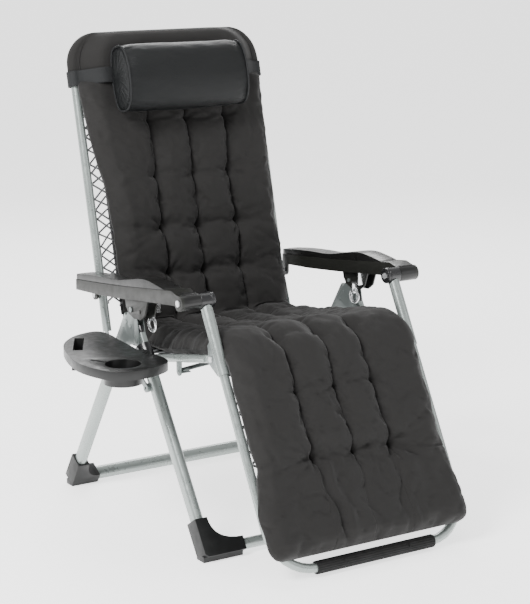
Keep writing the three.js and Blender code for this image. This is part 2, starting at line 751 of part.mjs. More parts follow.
// plastic corner shoe around a bend of a standing frame, with a flat sole
function foot(s, top, toe, legReach, barReach) {
  const [dy, dz] = direction(toe, top);
  const normal = planeOf([dy, dz]);
  const half = OVAL_SHORT / 2 + SHOE_WALL;
  const depth = OVAL_LONG + 2 * SHOE_WALL;
  const chamfer = 8;
  // drawn as (x, distance up the leg) from where the tubes' middles meet
  const shape = new THREE.Shape();
  shape.moveTo(s * half, legReach);
  shape.lineTo(s * half, chamfer - half);
  shape.lineTo(s * (half - chamfer), -half);
  shape.lineTo(-s * barReach, -half);
  shape.lineTo(-s * barReach, half);
  shape.quadraticCurveTo(-s * half, half, -s * half, legReach);
  shape.closePath();
  const geometry = new THREE.ExtrudeGeometry(shape, { depth, bevelEnabled: false, curveSegments: 8 });
  geometry.translate(0, 0, -depth / 2);
  geometry.applyMatrix4(new THREE.Matrix4().makeBasis(X_AXIS, new THREE.Vector3(0, dy, dz), normal));
  geometry.translate(s * BASE_X, ...toe);
  const heel = box(s * (BASE_X - barReach + 4), s * (BASE_X + half), toe[0] - 17, toe[0] + 17, 0, 14);

  const corners = [
    at(s * BASE_X, along(toe, top, legReach + 5)),
    at(s * BASE_X, toe),
    at(s * (BASE_X - barReach - 5), toe),
  ];
  const route = rounded(corners, BASE_BEND, BEND_STEPS);
  const channel = sweep(oval(OVAL_SHORT + 2 * GAP, OVAL_LONG + 2 * GAP), route, normal, 4);
  const underfloor = box(-500, 500, -700, 700, -60, 0);
  return cut(join(toSolid(geometry), heel), channel, underfloor);
}

const STAY_LENGTH = 172;
const STAY_IN = BASE_X + OVAL_SHORT / 2 + 3;

// flat stay hinged on the front leg, with the washer at its pivot
function legStay(s) {
  const rise = 28;
  const end = polar(STAY_PIVOT, STAY_LENGTH, rise);
  const shape = new THREE.Shape();
  const half = 8;
  const start = THREE.MathUtils.degToRad(rise + 90);
  shape.absarc(STAY_PIVOT[0], STAY_PIVOT[1], half, start, start + Math.PI, false);
  shape.absarc(end[0], end[1], half, start + Math.PI, start + 2 * Math.PI, false);
  const bar = slab(shape, s * STAY_IN, s * (STAY_IN + 3));
  const washer = rod(STAY_PIVOT, s * (BASE_X + OVAL_SHORT / 2 + GAP), s * (STAY_IN + 6), 11, 28);
  return cut(join(bar, washer), rod(STAY_PIVOT, s * 300, s * 400, 3.5, 16));
}

add(base, 'rear_leg_frame', rearLegFrame(), silver);
add(base, 'front_leg_frame', frontLegFrame(), silver);
for (const { sign, tag } of SIDES) {
  add(base, `base_hinge_web_${tag}`, topWeb(sign), plate);
  add(base, `front_leg_cap_${tag}`, legCap(sign), blackPlastic);
  add(base, `front_foot_${tag}`, foot(sign, FRONT_LEG_TOP, FRONT_FOOT, 78, 96), footPlastic);
  add(base, `rear_foot_${tag}`, foot(sign, REAR_LEG_TOP, REAR_FOOT, 70, 62), footPlastic);
  add(base, `leg_stay_${tag}`, legStay(sign), plate);
}

// ---- armrests --------------------------------------------------------------------------

// band of the armrest in side view: lower edge from rear to front, then the top edge
const ARM_LOW = [[262, 547], [115, 557], [-13, 570], [-142, 586], [-276, 601]];
const ARM_HIGH = [[-276, 626], [-246, 633], [-143, 619], [-14, 602], [113, 588], [262, 573]];
const PAD_HIGH = [
  [262, 586],
  [235, 590],
  [176, 598],
  [100, 605],
  [30, 610],
  [-40, 624],
  [-90, 634],
  [-126, 637],
  [-165, 634],
  [-202, 629.5],
];
const PAD_NOSE = [-207, 627.7]; // where the pad's top meets the shell

function armPlan(s, inset) {
  const inner = ARM_IN + inset;
  const outer = ARM_OUT - inset;
  const rear = 262 - inset;
  const corner = 20 - inset;
  const shape = new THREE.Shape();
  shape.moveTo(inner, -310);
  shape.lineTo(outer, -310);
  shape.lineTo(outer, rear - corner);
  shape.absarc(outer - corner, rear - corner, corner, 0, Math.PI / 2, false);
  shape.absarc(inner + corner, rear - corner, corner, Math.PI / 2, Math.PI, false);
  shape.closePath();
  const prism = layer(shape, 500, 700);
  return s > 0 ? prism : prism.mirror([1, 0, 0]);
}

function armShell(s) {
  const band = slab(outline([...ARM_LOW, ...ARM_HIGH]), s * ARM_IN, s * ARM_OUT);
  const nose = rod(ARM_FRONT, s * ARM_IN, s * ARM_OUT, HUB_R, 28);
  const ribs = [62, 74, 86, 98].map((angle) =>
    rod(polar(ARM_FRONT, HUB_R, angle), s * (ARM_IN + 4), s * (ARM_OUT - 6), 1.5, 10));
  const lugShape = new THREE.Shape();
  lugShape.moveTo(ARM_REAR[0] + 14, 556);
  lugShape.lineTo(ARM_REAR[0] - 14, 556);
  lugShape.lineTo(ARM_REAR[0] - 14, ARM_REAR[1]);
  lugShape.absarc(ARM_REAR[0], ARM_REAR[1], 14, Math.PI, 2 * Math.PI, false);
  lugShape.closePath();
  const lug = slab(lugShape, s * ARM_IN, s * (ARM_IN + 6));
  const holes = [
    rod(ARM_FRONT, s * 280, s * 360, BOLT_HOLE_R),
    rod(ARM_REAR, s * 280, s * (ARM_IN + 10), BOLT_HOLE_R),
  ];
  return cut(join(band.intersect(armPlan(s, 0)), nose, lug, ...ribs), ...holes);
}

function armPad(s) {
  const topEdge = new THREE.Shape();
  topEdge.moveTo(262, 573 + GAP);
  topEdge.lineTo(...PAD_HIGH[0]);
  topEdge.splineThru(PAD_HIGH.slice(1).map(([y, z]) => new THREE.Vector2(y, z)));
  for (const [y, z] of [PAD_NOSE, ...ARM_HIGH.slice(2, -1)]) topEdge.lineTo(y, z + GAP);
  topEdge.closePath();
  const body = slab(topEdge, s * (ARM_IN + 2), s * (ARM_OUT - 2), 4);
  return body.intersect(armPlan(s, 2));
}

const BRACKET_WALL = 4.2;

// plastic fork under the armrest that clasps the top of the standing frame
function armBracket(s) {
  const [rear, front] = ARM_LOW.slice(2, 4).map(([y, z]) => [y, z - GAP]);
  const frontTop = [front[0] + 16, front[1] - 2.4];
  const corners = [
    rear,
    [-18, 552],
    [-30, 537],
    [-58, 529],
    [-92, 531],
    [-112, 546],
    frontTop,
  ];
  const outer = slab(outline(corners), s * (BRACKET_OUT - BRACKET_WALL), s * BRACKET_OUT);
  const inner = slab(outline(corners), s * BRACKET_IN, s * (BRACKET_IN + BRACKET_WALL));
  const web = slab(outline([rear, [-15, 566.4], [-123, 579], frontTop]), s * BRACKET_IN, s * BRACKET_OUT);
  const rivet = rod([-88, 551], s * (BRACKET_OUT - 1), s * (BRACKET_OUT + 2), 4.5, 16);
  const pinHole = rod(ARM_BASE, s * 300, s * (BRACKET_OUT + GAP), BOLT_HOLE_R);
  return cut(join(outer, inner, web, rivet), pinHole);
}

const RING_R = 16.5;
const RING_WIRE = 3.5;
const RING_PIVOT = { x: 304, y: -80, z: 530.5 };
const LOCK_WALL = 4;

// chrome lock plate under the armrest, with the hole that the finger ring hangs from
function lockPlate(s) {
  const { x, y, z } = RING_PIVOT;
  const tabTop = z + 22;
  const shape = outline([
    [y - 24, 580.9],
    [y - 24 - LOCK_WALL, 581.4],
    [y - 24 - LOCK_WALL, tabTop - LOCK_WALL],
    [y - LOCK_WALL / 2, tabTop - LOCK_WALL],
    [y - LOCK_WALL / 2, z - 8],
    [y + LOCK_WALL / 2, z - 8],
    [y + LOCK_WALL / 2, tabTop],
    [y - 24, tabTop],
  ]);
  const plate = slab(shape, s * (x - 8), s * (x + 7.6));
  const throughTab = [at(s * x, [y - 8, z]), at(s * x, [y + 8, z])];
  return cut(plate, sweep(circle(RING_WIRE + 1.2), throughTab, X_AXIS, 10));
}

function lockRing(s) {
  const { x, y, z } = RING_PIVOT;
  const geometry = new THREE.TorusGeometry(RING_R, RING_WIRE, 8, 24);
  geometry.rotateY(Math.PI / 2);
  geometry.translate(s * x, y, z - RING_R);
  return toSolid(geometry);
}

for (const { sign, tag } of SIDES) {
  add(base, `armrest_${tag}`, armShell(sign), armPlastic);
  add(base, `armrest_pad_${tag}`, armPad(sign), padPlastic);
  add(base, `armrest_bracket_${tag}`, armBracket(sign), armPlastic);
  add(base, `lock_plate_${tag}`, lockPlate(sign), chrome);
  add(base, `lock_ring_${tag}`, lockRing(sign), chrome);
  const armBolt = pivotBolt(sign, ARM_FRONT, HUB_IN - GAP, ARM_OUT + GAP, BOLT_R, 8, 3);
  add(base, `arm_front_pivot_${tag}`, armBolt, steel);
}

// ---- side tray -------------------------------------------------------------------------

const TRAY_TOP = 468;
const TRAY_DEPTH = 22;
const TRAY_WALL = 3;
const TRAY_ARM_END = -BASE_X - 23;
const CUP = { x: -465, y: -225, r: 43, depth: 46 };
const NOTCH = { x: -500, y: -170, width: 12, length: 44, turn: 32 };
const SLOT = { x: -464, y: 5, width: 24, length: 124, turn: -29 };
const SLOT_DEPTH = 50;

// plan outline of the tray, as a share of the way out from its middle
function trayPlan(share) {
  const middle = [-452, -100];
  const corners = [
    [-352, 84],
    [-352, 40],
    [-358, -4],
    [-364, -81],
    [-374, -164],
    [-358, -190],
    [-355, -233],
    [-368, -266],
    [-408, -290],
    [-456, -301],
    [-506, -290],
    [-534, -253],
    [-549, -182],
    [-543, -112],
    [-519, -28],
    [-488, 35],
    [-436, 86],
    [-386, 105],
    [-362, 101],
  ];
  const points = corners.map(([x, y]) =>
    new THREE.Vector2(middle[0] + (x - middle[0]) * share, middle[1] + (y - middle[1]) * share));
  const curve = new THREE.SplineCurve([...points, points[0]]);
  return new THREE.Shape(curve.getPoints(60).slice(0, -1));
}

// upright block turned about its middle, in degrees from +Y towards -X
function turnedBlock({ x, y, width, length, turn }, grow, zFrom, zTo) {
  const block = box(-width / 2 - grow, width / 2 + grow, -length / 2 - grow, length / 2 + grow, zFrom, zTo);
  return block.rotate([0, 0, turn]).translate([x, y, 0]);
}

function tray() {
  const low = TRAY_TOP - TRAY_DEPTH;
  const over = TRAY_TOP + 10;
  const body = layer(trayPlan(1), low, TRAY_TOP);
  const hollow = layer(trayPlan(0.965), low - 5, TRAY_TOP - TRAY_WALL);
  const cupBottom = TRAY_TOP - CUP.depth;
  const cup = post(CUP.x, CUP.y, cupBottom, TRAY_TOP - 1, CUP.r + TRAY_WALL);
  const cupHole = post(CUP.x, CUP.y, cupBottom + TRAY_WALL, over, CUP.r);
  const pocketLow = TRAY_TOP - SLOT_DEPTH;
  const pocket = turnedBlock(SLOT, TRAY_WALL, pocketLow, TRAY_TOP - 1);
  const pocketHole = turnedBlock(SLOT, 0, pocketLow + TRAY_WALL, over);
  const notch = turnedBlock(NOTCH, 0, TRAY_TOP - 14, over);
  const notchWall = turnedBlock(NOTCH, TRAY_WALL, TRAY_TOP - 17, TRAY_TOP - 1);
  const arm = box(-400, TRAY_ARM_END, -150, -120, low - 2, TRAY_TOP - 1);
  return cut(join(cut(body, hollow), cup, pocket, notchWall, arm), cupHole, pocketHole, notch);
}

const CLIP_Z = 448;

// clip that snaps over the front leg and carries the tray
function trayClip() {
  const [dy, dz] = direction(FRONT_FOOT, FRONT_LEG_TOP);
  const [y, z] = along(FRONT_FOOT, FRONT_LEG_TOP, (CLIP_Z - FRONT_FOOT[1]) / dz);
  const stretch = (reach) =>
    [-reach, reach].map((distance) => at(-BASE_X, [y + dy * distance, z + dz * distance]));
  const normal = planeOf([dy, dz]);
  const jacket = sweep(oval(OVAL_SHORT + 7, OVAL_LONG + 7), stretch(20), normal, 4);
  const tongue = box(TRAY_ARM_END + GAP, -BASE_X - 7, y - 32, y - 6, CLIP_Z - 14, CLIP_Z + 8);
  const channel = sweep(oval(OVAL_SHORT + 2 * GAP, OVAL_LONG + 2 * GAP), stretch(40), normal, 4);
  return cut(join(jacket, tongue), channel);
}

add(base, 'side_tray', tray(), padPlastic);
add(base, 'tray_clip', trayClip(), blackPlastic);

// ---- place the chair with its bounding box's bottom centre at the origin ---------------

const bounds = new THREE.Box3().setFromObject(chair);
const middle = bounds.getCenter(new THREE.Vector3());
chair.position.set(-middle.x, -middle.y, -bounds.min.z);

const group = new THREE.Group();
group.name = 'zero_gravity_recliner';
group.add(chair);

export default group;
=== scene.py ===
"""Zero gravity recliner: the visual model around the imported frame. Metres, +Z up."""
import json
import math

import bmesh
import bpy
import numpy as np
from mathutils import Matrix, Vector, noise


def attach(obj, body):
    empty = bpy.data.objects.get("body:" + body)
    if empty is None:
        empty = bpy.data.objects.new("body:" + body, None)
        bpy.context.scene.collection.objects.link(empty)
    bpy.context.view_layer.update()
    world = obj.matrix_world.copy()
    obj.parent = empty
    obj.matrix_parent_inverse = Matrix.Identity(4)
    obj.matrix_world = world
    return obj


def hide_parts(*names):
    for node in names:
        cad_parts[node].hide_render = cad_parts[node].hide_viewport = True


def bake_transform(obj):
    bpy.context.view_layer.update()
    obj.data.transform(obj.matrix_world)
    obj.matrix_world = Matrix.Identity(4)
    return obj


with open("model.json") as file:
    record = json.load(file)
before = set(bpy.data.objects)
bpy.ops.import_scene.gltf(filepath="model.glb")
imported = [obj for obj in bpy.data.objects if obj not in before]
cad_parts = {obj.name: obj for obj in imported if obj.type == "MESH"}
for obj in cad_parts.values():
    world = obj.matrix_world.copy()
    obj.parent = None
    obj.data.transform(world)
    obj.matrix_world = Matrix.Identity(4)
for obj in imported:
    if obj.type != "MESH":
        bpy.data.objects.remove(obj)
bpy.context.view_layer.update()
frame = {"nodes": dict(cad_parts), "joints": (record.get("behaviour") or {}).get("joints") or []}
NODES = frame["nodes"]
JOINTS = {joint["name"]: joint for joint in frame["joints"]}

# ---- places, from the frame ----------------------------------------------------------------

ARM_PIVOT = Vector(JOINTS["leg_rest_recline"]["pos_m"])
KNEE_PIVOT = Vector(JOINTS["seat_front_hinge"]["pos_m"])
HIP_PIVOT = Vector(JOINTS["seat_rear_hinge"]["pos_m"])
MID_X = ARM_PIVOT.x

BACK_LEAN = math.radians(13.7)
LEG_LEAN = math.radians(28.4)
TUBE_X = 0.275      # centre plane of the side tubes, from the middle
TUBE_R = 0.0115
BACK_TOP = ARM_PIVOT + Vector((0, 0.674, 0.563))   # middle of the back frame's top bar
RAIL_BEND = ARM_PIVOT + Vector((0, 0.261, -0.195))  # where the seat rail turns level

X_DIR = Vector((1, 0, 0))
BACK_UP = Vector((0, math.sin(BACK_LEAN), math.cos(BACK_LEAN)))
BACK_OUT = Vector((0, -math.cos(BACK_LEAN), math.sin(BACK_LEAN)))
LEG_DOWN = Vector((0, -math.sin(LEG_LEAN), -math.cos(LEG_LEAN)))
LEG_OUT = Vector((0, -math.cos(LEG_LEAN), math.sin(LEG_LEAN)))

SIDES = {"right": -1, "left": 1}


def back_at(x, down, out):
    """Point of the back: x from the middle, down from the top bar, out towards the sitter."""
    return BACK_TOP + X_DIR * x - BACK_UP * down + BACK_OUT * out


def leg_at(x, down, out):
    """Point of the leg rest: x from the middle, down from the armrest pivot, out to the front."""
    return ARM_PIVOT + X_DIR * x + LEG_DOWN * down + LEG_OUT * out


def rail_height(y):
    """Height of the seat rail's middle line at y."""
    a, b = (KNEE_PIVOT, RAIL_BEND) if y < RAIL_BEND.y else (RAIL_BEND, HIP_PIVOT)
    return a.z + (b.z - a.z) * (y - a.y) / (b.y - a.y)


# ---- camera, lights and floor --------------------------------------------------------------

def make_camera():
    data = bpy.data.cameras.new("camera")
    data.lens = 108.0
    data.sensor_width = 36.0
    data.clip_end = 50
    camera = bpy.data.objects.new("camera", data)
    bpy.context.scene.collection.objects.link(camera)
    azimuth, pitch = math.radians(-32.734), math.radians(12.462)
    camera.location = ARM_PIVOT + Vector((-2.4116, -3.5884, 0.9186))
    look = Vector((-math.sin(azimuth), math.cos(azimuth), 0)) * math.cos(pitch)
    look.z = -math.sin(pitch)
    camera.rotation_euler = look.to_track_quat("-Z", "Y").to_euler()
    bpy.context.scene.camera = camera


def area_light(name, place, target, size, power):
    data = bpy.data.lights.new(name, "AREA")
    data.shape = "RECTANGLE"
    data.size, data.size_y = size
    data.energy = power
    light = bpy.data.objects.new(name, data)
    bpy.context.scene.collection.objects.link(light)
    light.location = place
    light.rotation_euler = (Vector(target) - Vector(place)).to_track_quat("-Z", "Y").to_euler()


def make_studio():
    world = bpy.data.worlds.new("studio")
    bpy.context.scene.world = world
    world.use_nodes = True
    background = world.node_tree.nodes["Background"]
    background.inputs["Color"].default_value = (1.0, 1.0, 1.0, 1)
    background.inputs["Strength"].default_value = 0.70
    target = (MID_X, 0, 0.6)
    area_light("key", (-3.2, -1.2, 3.4), target, (1.4, 1.4), 260)
    area_light("fill", (2.6, -3.4, 2.0), target, (2.4, 2.4), 25)
    area_light("rim", (1.6, 3.2, 2.8), target, (2.6, 1.6), 90)
    area_light("top", (0.0, 0.6, 4.2), target, (2.0, 2.0), 45)
    bpy.ops.mesh.primitive_plane_add(size=60, location=(0, 0, -0.0005))
    floor = bpy.context.object
    floor.name = "floor"
    material, nodes, links, shader = new_material("floor_white", (0.94, 0.94, 0.94), 0.9)
    mottle = nodes.new("ShaderNodeTexNoise")
    mottle.inputs["Scale"].default_value = 3.0
    colour_mix(nodes, links, shader, mottle.outputs["Fac"], (0.93, 0.93, 0.93), (0.95, 0.95, 0.95))
    shader.inputs["Emission Color"].default_value = (1, 1, 1, 1)
    shader.inputs["Emission Strength"].default_value = 1.6
    floor.data.materials.append(material)


# ---- materials -----------------------------------------------------------------------------

def new_material(name, colour, roughness, metallic=0.0):
    material = bpy.data.materials.new(name)
    material.use_nodes = True
    nodes, links = material.node_tree.nodes, material.node_tree.links
    shader = nodes["Principled BSDF"]
    shader.inputs["Base Color"].default_value = (*colour, 1)
    shader.inputs["Roughness"].default_value = roughness
    shader.inputs["Metallic"].default_value = metallic
    material.diffuse_color = (*colour, 1)
    return material, nodes, links, shader


def colour_mix(nodes, links, shader, factor, dark, light):
    """Runs the base colour from dark to light with a factor."""
    ramp = nodes.new("ShaderNodeMix")
    ramp.data_type = "RGBA"
    ramp.inputs["A"].default_value = (*dark, 1)
    ramp.inputs["B"].default_value = (*light, 1)
    links.new(factor, ramp.inputs["Factor"])
    links.new(ramp.outputs["Result"], shader.inputs["Base Color"])


def object_coordinates(nodes):
    return nodes.new("ShaderNodeTexCoord").outputs["Object"]


def noise_texture(nodes, links, coordinates, scale, detail=3.0, roughness=0.5):
    texture = nodes.new("ShaderNodeTexNoise")
    texture.inputs["Scale"].default_value = scale
    texture.inputs["Detail"].default_value = detail
    texture.inputs["Roughness"].default_value = roughness
    links.new(coordinates, texture.inputs["Vector"])
    return texture.outputs["Fac"]


def math_node(nodes, links, operation, *values):
    """Output of a math node whose inputs are sockets or numbers."""
    node = nodes.new("ShaderNodeMath")
    node.operation = operation
    for socket, value in zip(node.inputs, values):
        if isinstance(value, (int, float)):
            socket.default_value = value
        else:
            links.new(value, socket)
    return node.outputs[0]


def map_range(nodes, links, value, low, high, source=(0.3, 0.7)):
    node = nodes.new("ShaderNodeMapRange")
    node.inputs["From Min"].default_value = source[0]
    node.inputs["From Max"].default_value = source[1]
    node.inputs["To Min"].default_value = low
    node.inputs["To Max"].default_value = high
    links.new(value, node.inputs["Value"])
    return node.outputs["Result"]


def bump(nodes, links, shader, height, strength, distance, below=None):
    node = nodes.new("ShaderNodeBump")
    node.inputs["Strength"].default_value = strength
    node.inputs["Distance"].default_value = distance
    links.new(height, node.inputs["Height"])
    if below is not None:
        links.new(below, node.inputs["Normal"])
    links.new(node.outputs["Normal"], shader.inputs["Normal"])
    return node.outputs["Normal"]


def grained(name, dark, light, roughness, metallic=0.0, grain=900.0, depth=0.0002, strength=0.35,
            patch=14.0, rough_spread=0.08, coat=0.0, specular=0.5):
    """Painted, cast or moulded surface: colour patches, fine grain and uneven gloss."""
    material, nodes, links, shader = new_material(name, light, roughness, metallic)
    coordinates = object_coordinates(nodes)
    patches = noise_texture(nodes, links, coordinates, patch, 4.0)
    colour_mix(nodes, links, shader, patches, dark, light)
    fine = noise_texture(nodes, links, coordinates, grain, 2.0)
    uneven = noise_texture(nodes, links, coordinates, patch * 4, 3.0)
    rough = map_range(nodes, links, uneven, roughness - rough_spread, roughness + rough_spread)
    links.new(rough, shader.inputs["Roughness"])
    bump(nodes, links, shader, fine, strength, depth)
    shader.inputs["Coat Weight"].default_value = coat
    shader.inputs["Coat Roughness"].default_value = 0.2
    shader.inputs["Specular IOR Level"].default_value = specular
    return material


def sine_weave(nodes, links, coordinates, across, along):
    """Height of a plain weave: product of two sines of the UV place, in metres."""
    split = nodes.new("ShaderNodeSeparateXYZ")
    links.new(coordinates, split.inputs[0])
    waves = []
    for axis, pitch in (("X", across), ("Y", along)):
        turn = math_node(nodes, links, "MULTIPLY", split.outputs[axis], 2 * math.pi / pitch)
        waves.append(math_node(nodes, links, "SINE", turn))
    product = math_node(nodes, links, "MULTIPLY", *waves)
    return math_node(nodes, links, "MULTIPLY_ADD", product, 0.5, 0.5)


def woven(name, dark, light, roughness, pitch, depth, strength, sheen, patch=9.0, contrast=0.5):
    """Cloth with a weave that follows the UV place in metres."""
    material, nodes, links, shader = new_material(name, light, roughness)
    uv = nodes.new("ShaderNodeTexCoord").outputs["UV"]
    weave = sine_weave(nodes, links, uv, *pitch)
    coordinates = object_coordinates(nodes)
    patches = noise_texture(nodes, links, coordinates, patch, 5.0, 0.6)
    mixed = nodes.new("ShaderNodeMix")
    mixed.inputs["Factor"].default_value = contrast
    links.new(patches, mixed.inputs["A"])
    links.new(weave, mixed.inputs["B"])
    colour_mix(nodes, links, shader, mixed.outputs["Result"], dark, light)
    fuzz = noise_texture(nodes, links, coordinates, 1400.0, 2.0)
    rough = map_range(nodes, links, patches, roughness - 0.05, roughness + 0.05)
    links.new(rough, shader.inputs["Roughness"])
    first = bump(nodes, links, shader, weave, strength, depth)
    bump(nodes, links, shader, fuzz, 0.25, 0.0002, below=first)
    shader.inputs["Sheen Weight"].default_value = sheen
    shader.inputs["Sheen Roughness"].default_value = 0.45
    shader.inputs["Specular IOR Level"].default_value = 0.25
    return material


def glossy_barrel(material, dark, roughness):
    """Darker, glossier finish round the armrest's front barrel, on a plastic that is duller elsewhere."""
    nodes, links = material.node_tree.nodes, material.node_tree.links
    shader = nodes["Principled BSDF"]
    split = nodes.new("ShaderNodeSeparateXYZ")
    links.new(object_coordinates(nodes), split.inputs[0])
    y_limits = (ARM_PIVOT.y + 0.020, ARM_PIVOT.y + 0.017)
    ahead = map_range(nodes, links, split.outputs["Y"], 0, 1, y_limits)
    across = math_node(nodes, links, "SUBTRACT", split.outputs["X"], MID_X)
    distance = math_node(nodes, links, "ABSOLUTE", across)
    inside = map_range(nodes, links, distance, 0, 1, (0.3385, 0.3375))
    mask = math_node(nodes, links, "MULTIPLY", ahead, inside)
    for name, value, kind in (("Base Color", (*dark, 1), "RGBA"), ("Roughness", roughness, "FLOAT")):
        source = shader.inputs[name].links[0].from_socket
        mix = nodes.new("ShaderNodeMix")
        mix.data_type = kind
        first, second, result = (6, 7, 2) if kind == "RGBA" else (2, 3, 0)
        links.new(source, mix.inputs[first])
        mix.inputs[second].default_value = value
        links.new(mask, mix.inputs[0])
        links.new(mix.outputs[result], shader.inputs[name])


def make_materials():
    looks = {
        "tube": grained("silver_paint", (0.26, 0.29, 0.28), (0.33, 0.365, 0.35), 0.30, 0.55,
                        grain=1500, depth=0.0001, strength=0.25, coat=0.3),
        "plate": grained("plate_paint", (0.17, 0.195, 0.19), (0.23, 0.255, 0.25), 0.36, 0.5,
                         grain=1200, depth=0.0001, coat=0.15),
        "chrome": grained("chrome", (0.72, 0.73, 0.74), (0.86, 0.87, 0.88), 0.20, 0.9,
                          grain=400, depth=0.00005, rough_spread=0.05),
        "steel": grained("zinc_steel", (0.60, 0.61, 0.62), (0.74, 0.75, 0.76), 0.3, 0.7, grain=700),
        "arm": grained("arm_plastic", (0.0100, 0.0104, 0.0088), (0.0145, 0.0149, 0.0128), 0.40,
                       grain=1700, specular=0.4),
        "pad": grained("pad_plastic", (0.0048, 0.0048, 0.0046), (0.0075, 0.0075, 0.0072), 0.34,
                       grain=1300, coat=0.15, specular=0.4),
        "tray": grained("tray_plastic", (0.0050, 0.0053, 0.0052), (0.0075, 0.0078, 0.0076), 0.36,
                        grain=1300, specular=0.4),
        "black": grained("black_plastic", (0.006, 0.006, 0.007), (0.010, 0.010, 0.011), 0.28,
                         grain=1000, coat=0.2),
        "foot": grained("foot_plastic", (0.006, 0.0062, 0.0062), (0.010, 0.0103, 0.0103), 0.42, grain=1200,
                        specular=0.35),
        "foam": grained("grip_foam", (0.006, 0.006, 0.006), (0.012, 0.012, 0.012), 0.75, grain=2600,
                        depth=0.0004, strength=0.6, specular=0.3),
        # the elastic cord is black: the light patches in its colour are painted highlights along the cords
        "cord": grained("elastic_cord_painted_highlights", (0.012, 0.012, 0.013), (0.16, 0.165, 0.17), 0.45, grain=900,
                        depth=0.0004, strength=0.8, patch=160),
        "hem": grained("sling_hem", (0.010, 0.010, 0.011), (0.020, 0.020, 0.021), 0.6, grain=1500),
        "cushion": woven("cushion_polyester", (0.0112, 0.0107, 0.0103), (0.0172, 0.0163, 0.0157), 0.84,
                         (0.0011, 0.0011), 0.0002, 0.35, 0.08, contrast=0.35),
        "sling": woven("sling_textilene", (0.006, 0.006, 0.007), (0.016, 0.016, 0.018), 0.6,
                       (0.003, 0.002), 0.0006, 0.8, 0.0, contrast=0.8),
        "pillow": woven("pillow_textilene", (0.0022, 0.0026, 0.0028), (0.0085, 0.0095, 0.0100), 0.36,
                        (0.0042, 0.0030), 0.0008, 0.9, 0.0, contrast=0.8),
        "strap": woven("strap_webbing", (0.007, 0.0075, 0.008), (0.018, 0.019, 0.020), 0.6,
                       (0.002, 0.004), 0.0006, 0.8, 0.0, contrast=0.7),
    }
    glossy_barrel(looks["arm"], (0.008, 0.008, 0.008), 0.28)
    return looks


# ---- mesh helpers --------------------------------------------------------------------------

def new_object(name, vertices, faces, material, uvs):
    mesh = bpy.data.meshes.new(name)
    mesh.from_pydata([tuple(v) for v in vertices], [], faces)
    layer = mesh.uv_layers.new(name="place")
    index = np.empty(len(mesh.loops), dtype=np.int32)
    mesh.loops.foreach_get("vertex_index", index)
    layer.data.foreach_set("uv", np.asarray(uvs, dtype=np.float32)[index].ravel())
    obj = bpy.data.objects.new(name, mesh)
    bpy.context.scene.collection.objects.link(obj)
    mesh.materials.append(material)
    mesh.polygons.foreach_set("use_smooth", [True] * len(mesh.polygons))
    return obj


def grid_faces(rows, columns, offset=0, flip=False, wrap=False):
    """Quads of a rows x columns lattice of vertices, with the columns joined round if wrap."""
    faces = []
    for i in range(rows - 1):
        for j in range(columns if wrap else columns - 1):
            a = offset + i * columns + j
            b = offset + i * columns + (j + 1) % columns
            c, d = b + columns, a + columns
            faces.append((a, d, c, b) if flip else (a, b, c, d))
    return faces


def tube_mesh(paths, radius, sides):
    """Vertices, faces and UVs of round cords along open lists of points."""
    vertices, faces, uvs = [], [], []
    for path in paths:
        points = [Vector(p) for p in path]
        offset = len(vertices)
        normal = None
        run = 0.0
        for i, point in enumerate(points):
            ahead = points[min(i + 1, len(points) - 1)]
            behind = points[max(i - 1, 0)]
            tangent = (ahead - behind).normalized()
            if normal is None:
                normal = tangent.orthogonal().normalized()
            normal = (normal - tangent * normal.dot(tangent)).normalized()
            side = tangent.cross(normal)
            if i:
                run += (point - points[i - 1]).length
            for k in range(sides):
                angle = 2 * math.pi * k / sides
                vertices.append(point + (normal * math.cos(angle) + side * math.sin(angle)) * radius)
                uvs.append((k / sides * 2 * math.pi * radius, run))
        faces += grid_faces(len(points), sides, offset, wrap=True)
        faces.append(tuple(offset + k for k in reversed(range(sides))))
        last = offset + (len(points) - 1) * sides
        faces.append(tuple(last + k for k in range(sides)))
    return vertices, faces, uvs


def smooth_curve(points, steps):
    """Catmull-Rom points through a list of points."""
    points = [Vector(p) for p in points]
    padded = [points[0]] + points + [points[-1]]
    result = []
    for i in range(1, len(padded) - 2):
        p0, p1, p2, p3 = padded[i - 1:i + 3]
        for k in range(steps):
            t = k / steps
            result.append(0.5 * ((2 * p1) + (p2 - p0) * t + (2 * p0 - 5 * p1 + 4 * p2 - p3) * t * t
                                 + (3 * p1 - p0 - 3 * p2 + p3) * t ** 3))
    result.append(points[-1])
    return result


# ---- carried-over CAD nodes ----------------------------------------------------------------

CAD_LOOKS = {
    "tube": ["leg_upper_tube", "leg_u_frame", "seat_rail", "back_u_frame", "rear_leg_frame",
             "front_leg_frame"],
    "plate": ["leg_hinge_web", "cross_bar_bracket", "seat_cross_bar", "back_hinge_web",
              "base_hinge_web", "leg_stay"],
    "chrome": ["lock_plate", "lock_ring"],
    "steel": ["seat_front_pivot", "seat_rear_pivot", "arm_rear_pivot", "arm_front_pivot"],
    "arm": ["armrest", "armrest_bracket"],
    "pad": ["armrest_pad"],
    "tray": ["side_tray"],
    "black": ["leg_hub", "front_leg_cap", "tray_clip"],
    "foot": ["front_foot", "rear_foot"],
    "foam": ["foot_bar_grip"],
}
EDGE_ROUNDING = {
    "armrest": 0.0022, "armrest_pad": 0.0045, "armrest_bracket": 0.0008, "side_tray": 0.0016,
    "front_foot": 0.0030, "rear_foot": 0.0030, "base_hinge_web": 0.0005, "leg_stay": 0.0006,
    "leg_hub": 0.0010, "lock_plate": 0.0008, "tray_clip": 0.0010, "front_leg_cap": 0.0012,
    "cross_bar_bracket": 0.0005, "seat_cross_bar": 0.0006, "leg_hinge_web": 0.0005,
    "back_hinge_web": 0.0005,
}


def node_family(name):
    for side in SIDES:
        if name.endswith("_" + side):
            return name[:-len(side) - 1]
    return name


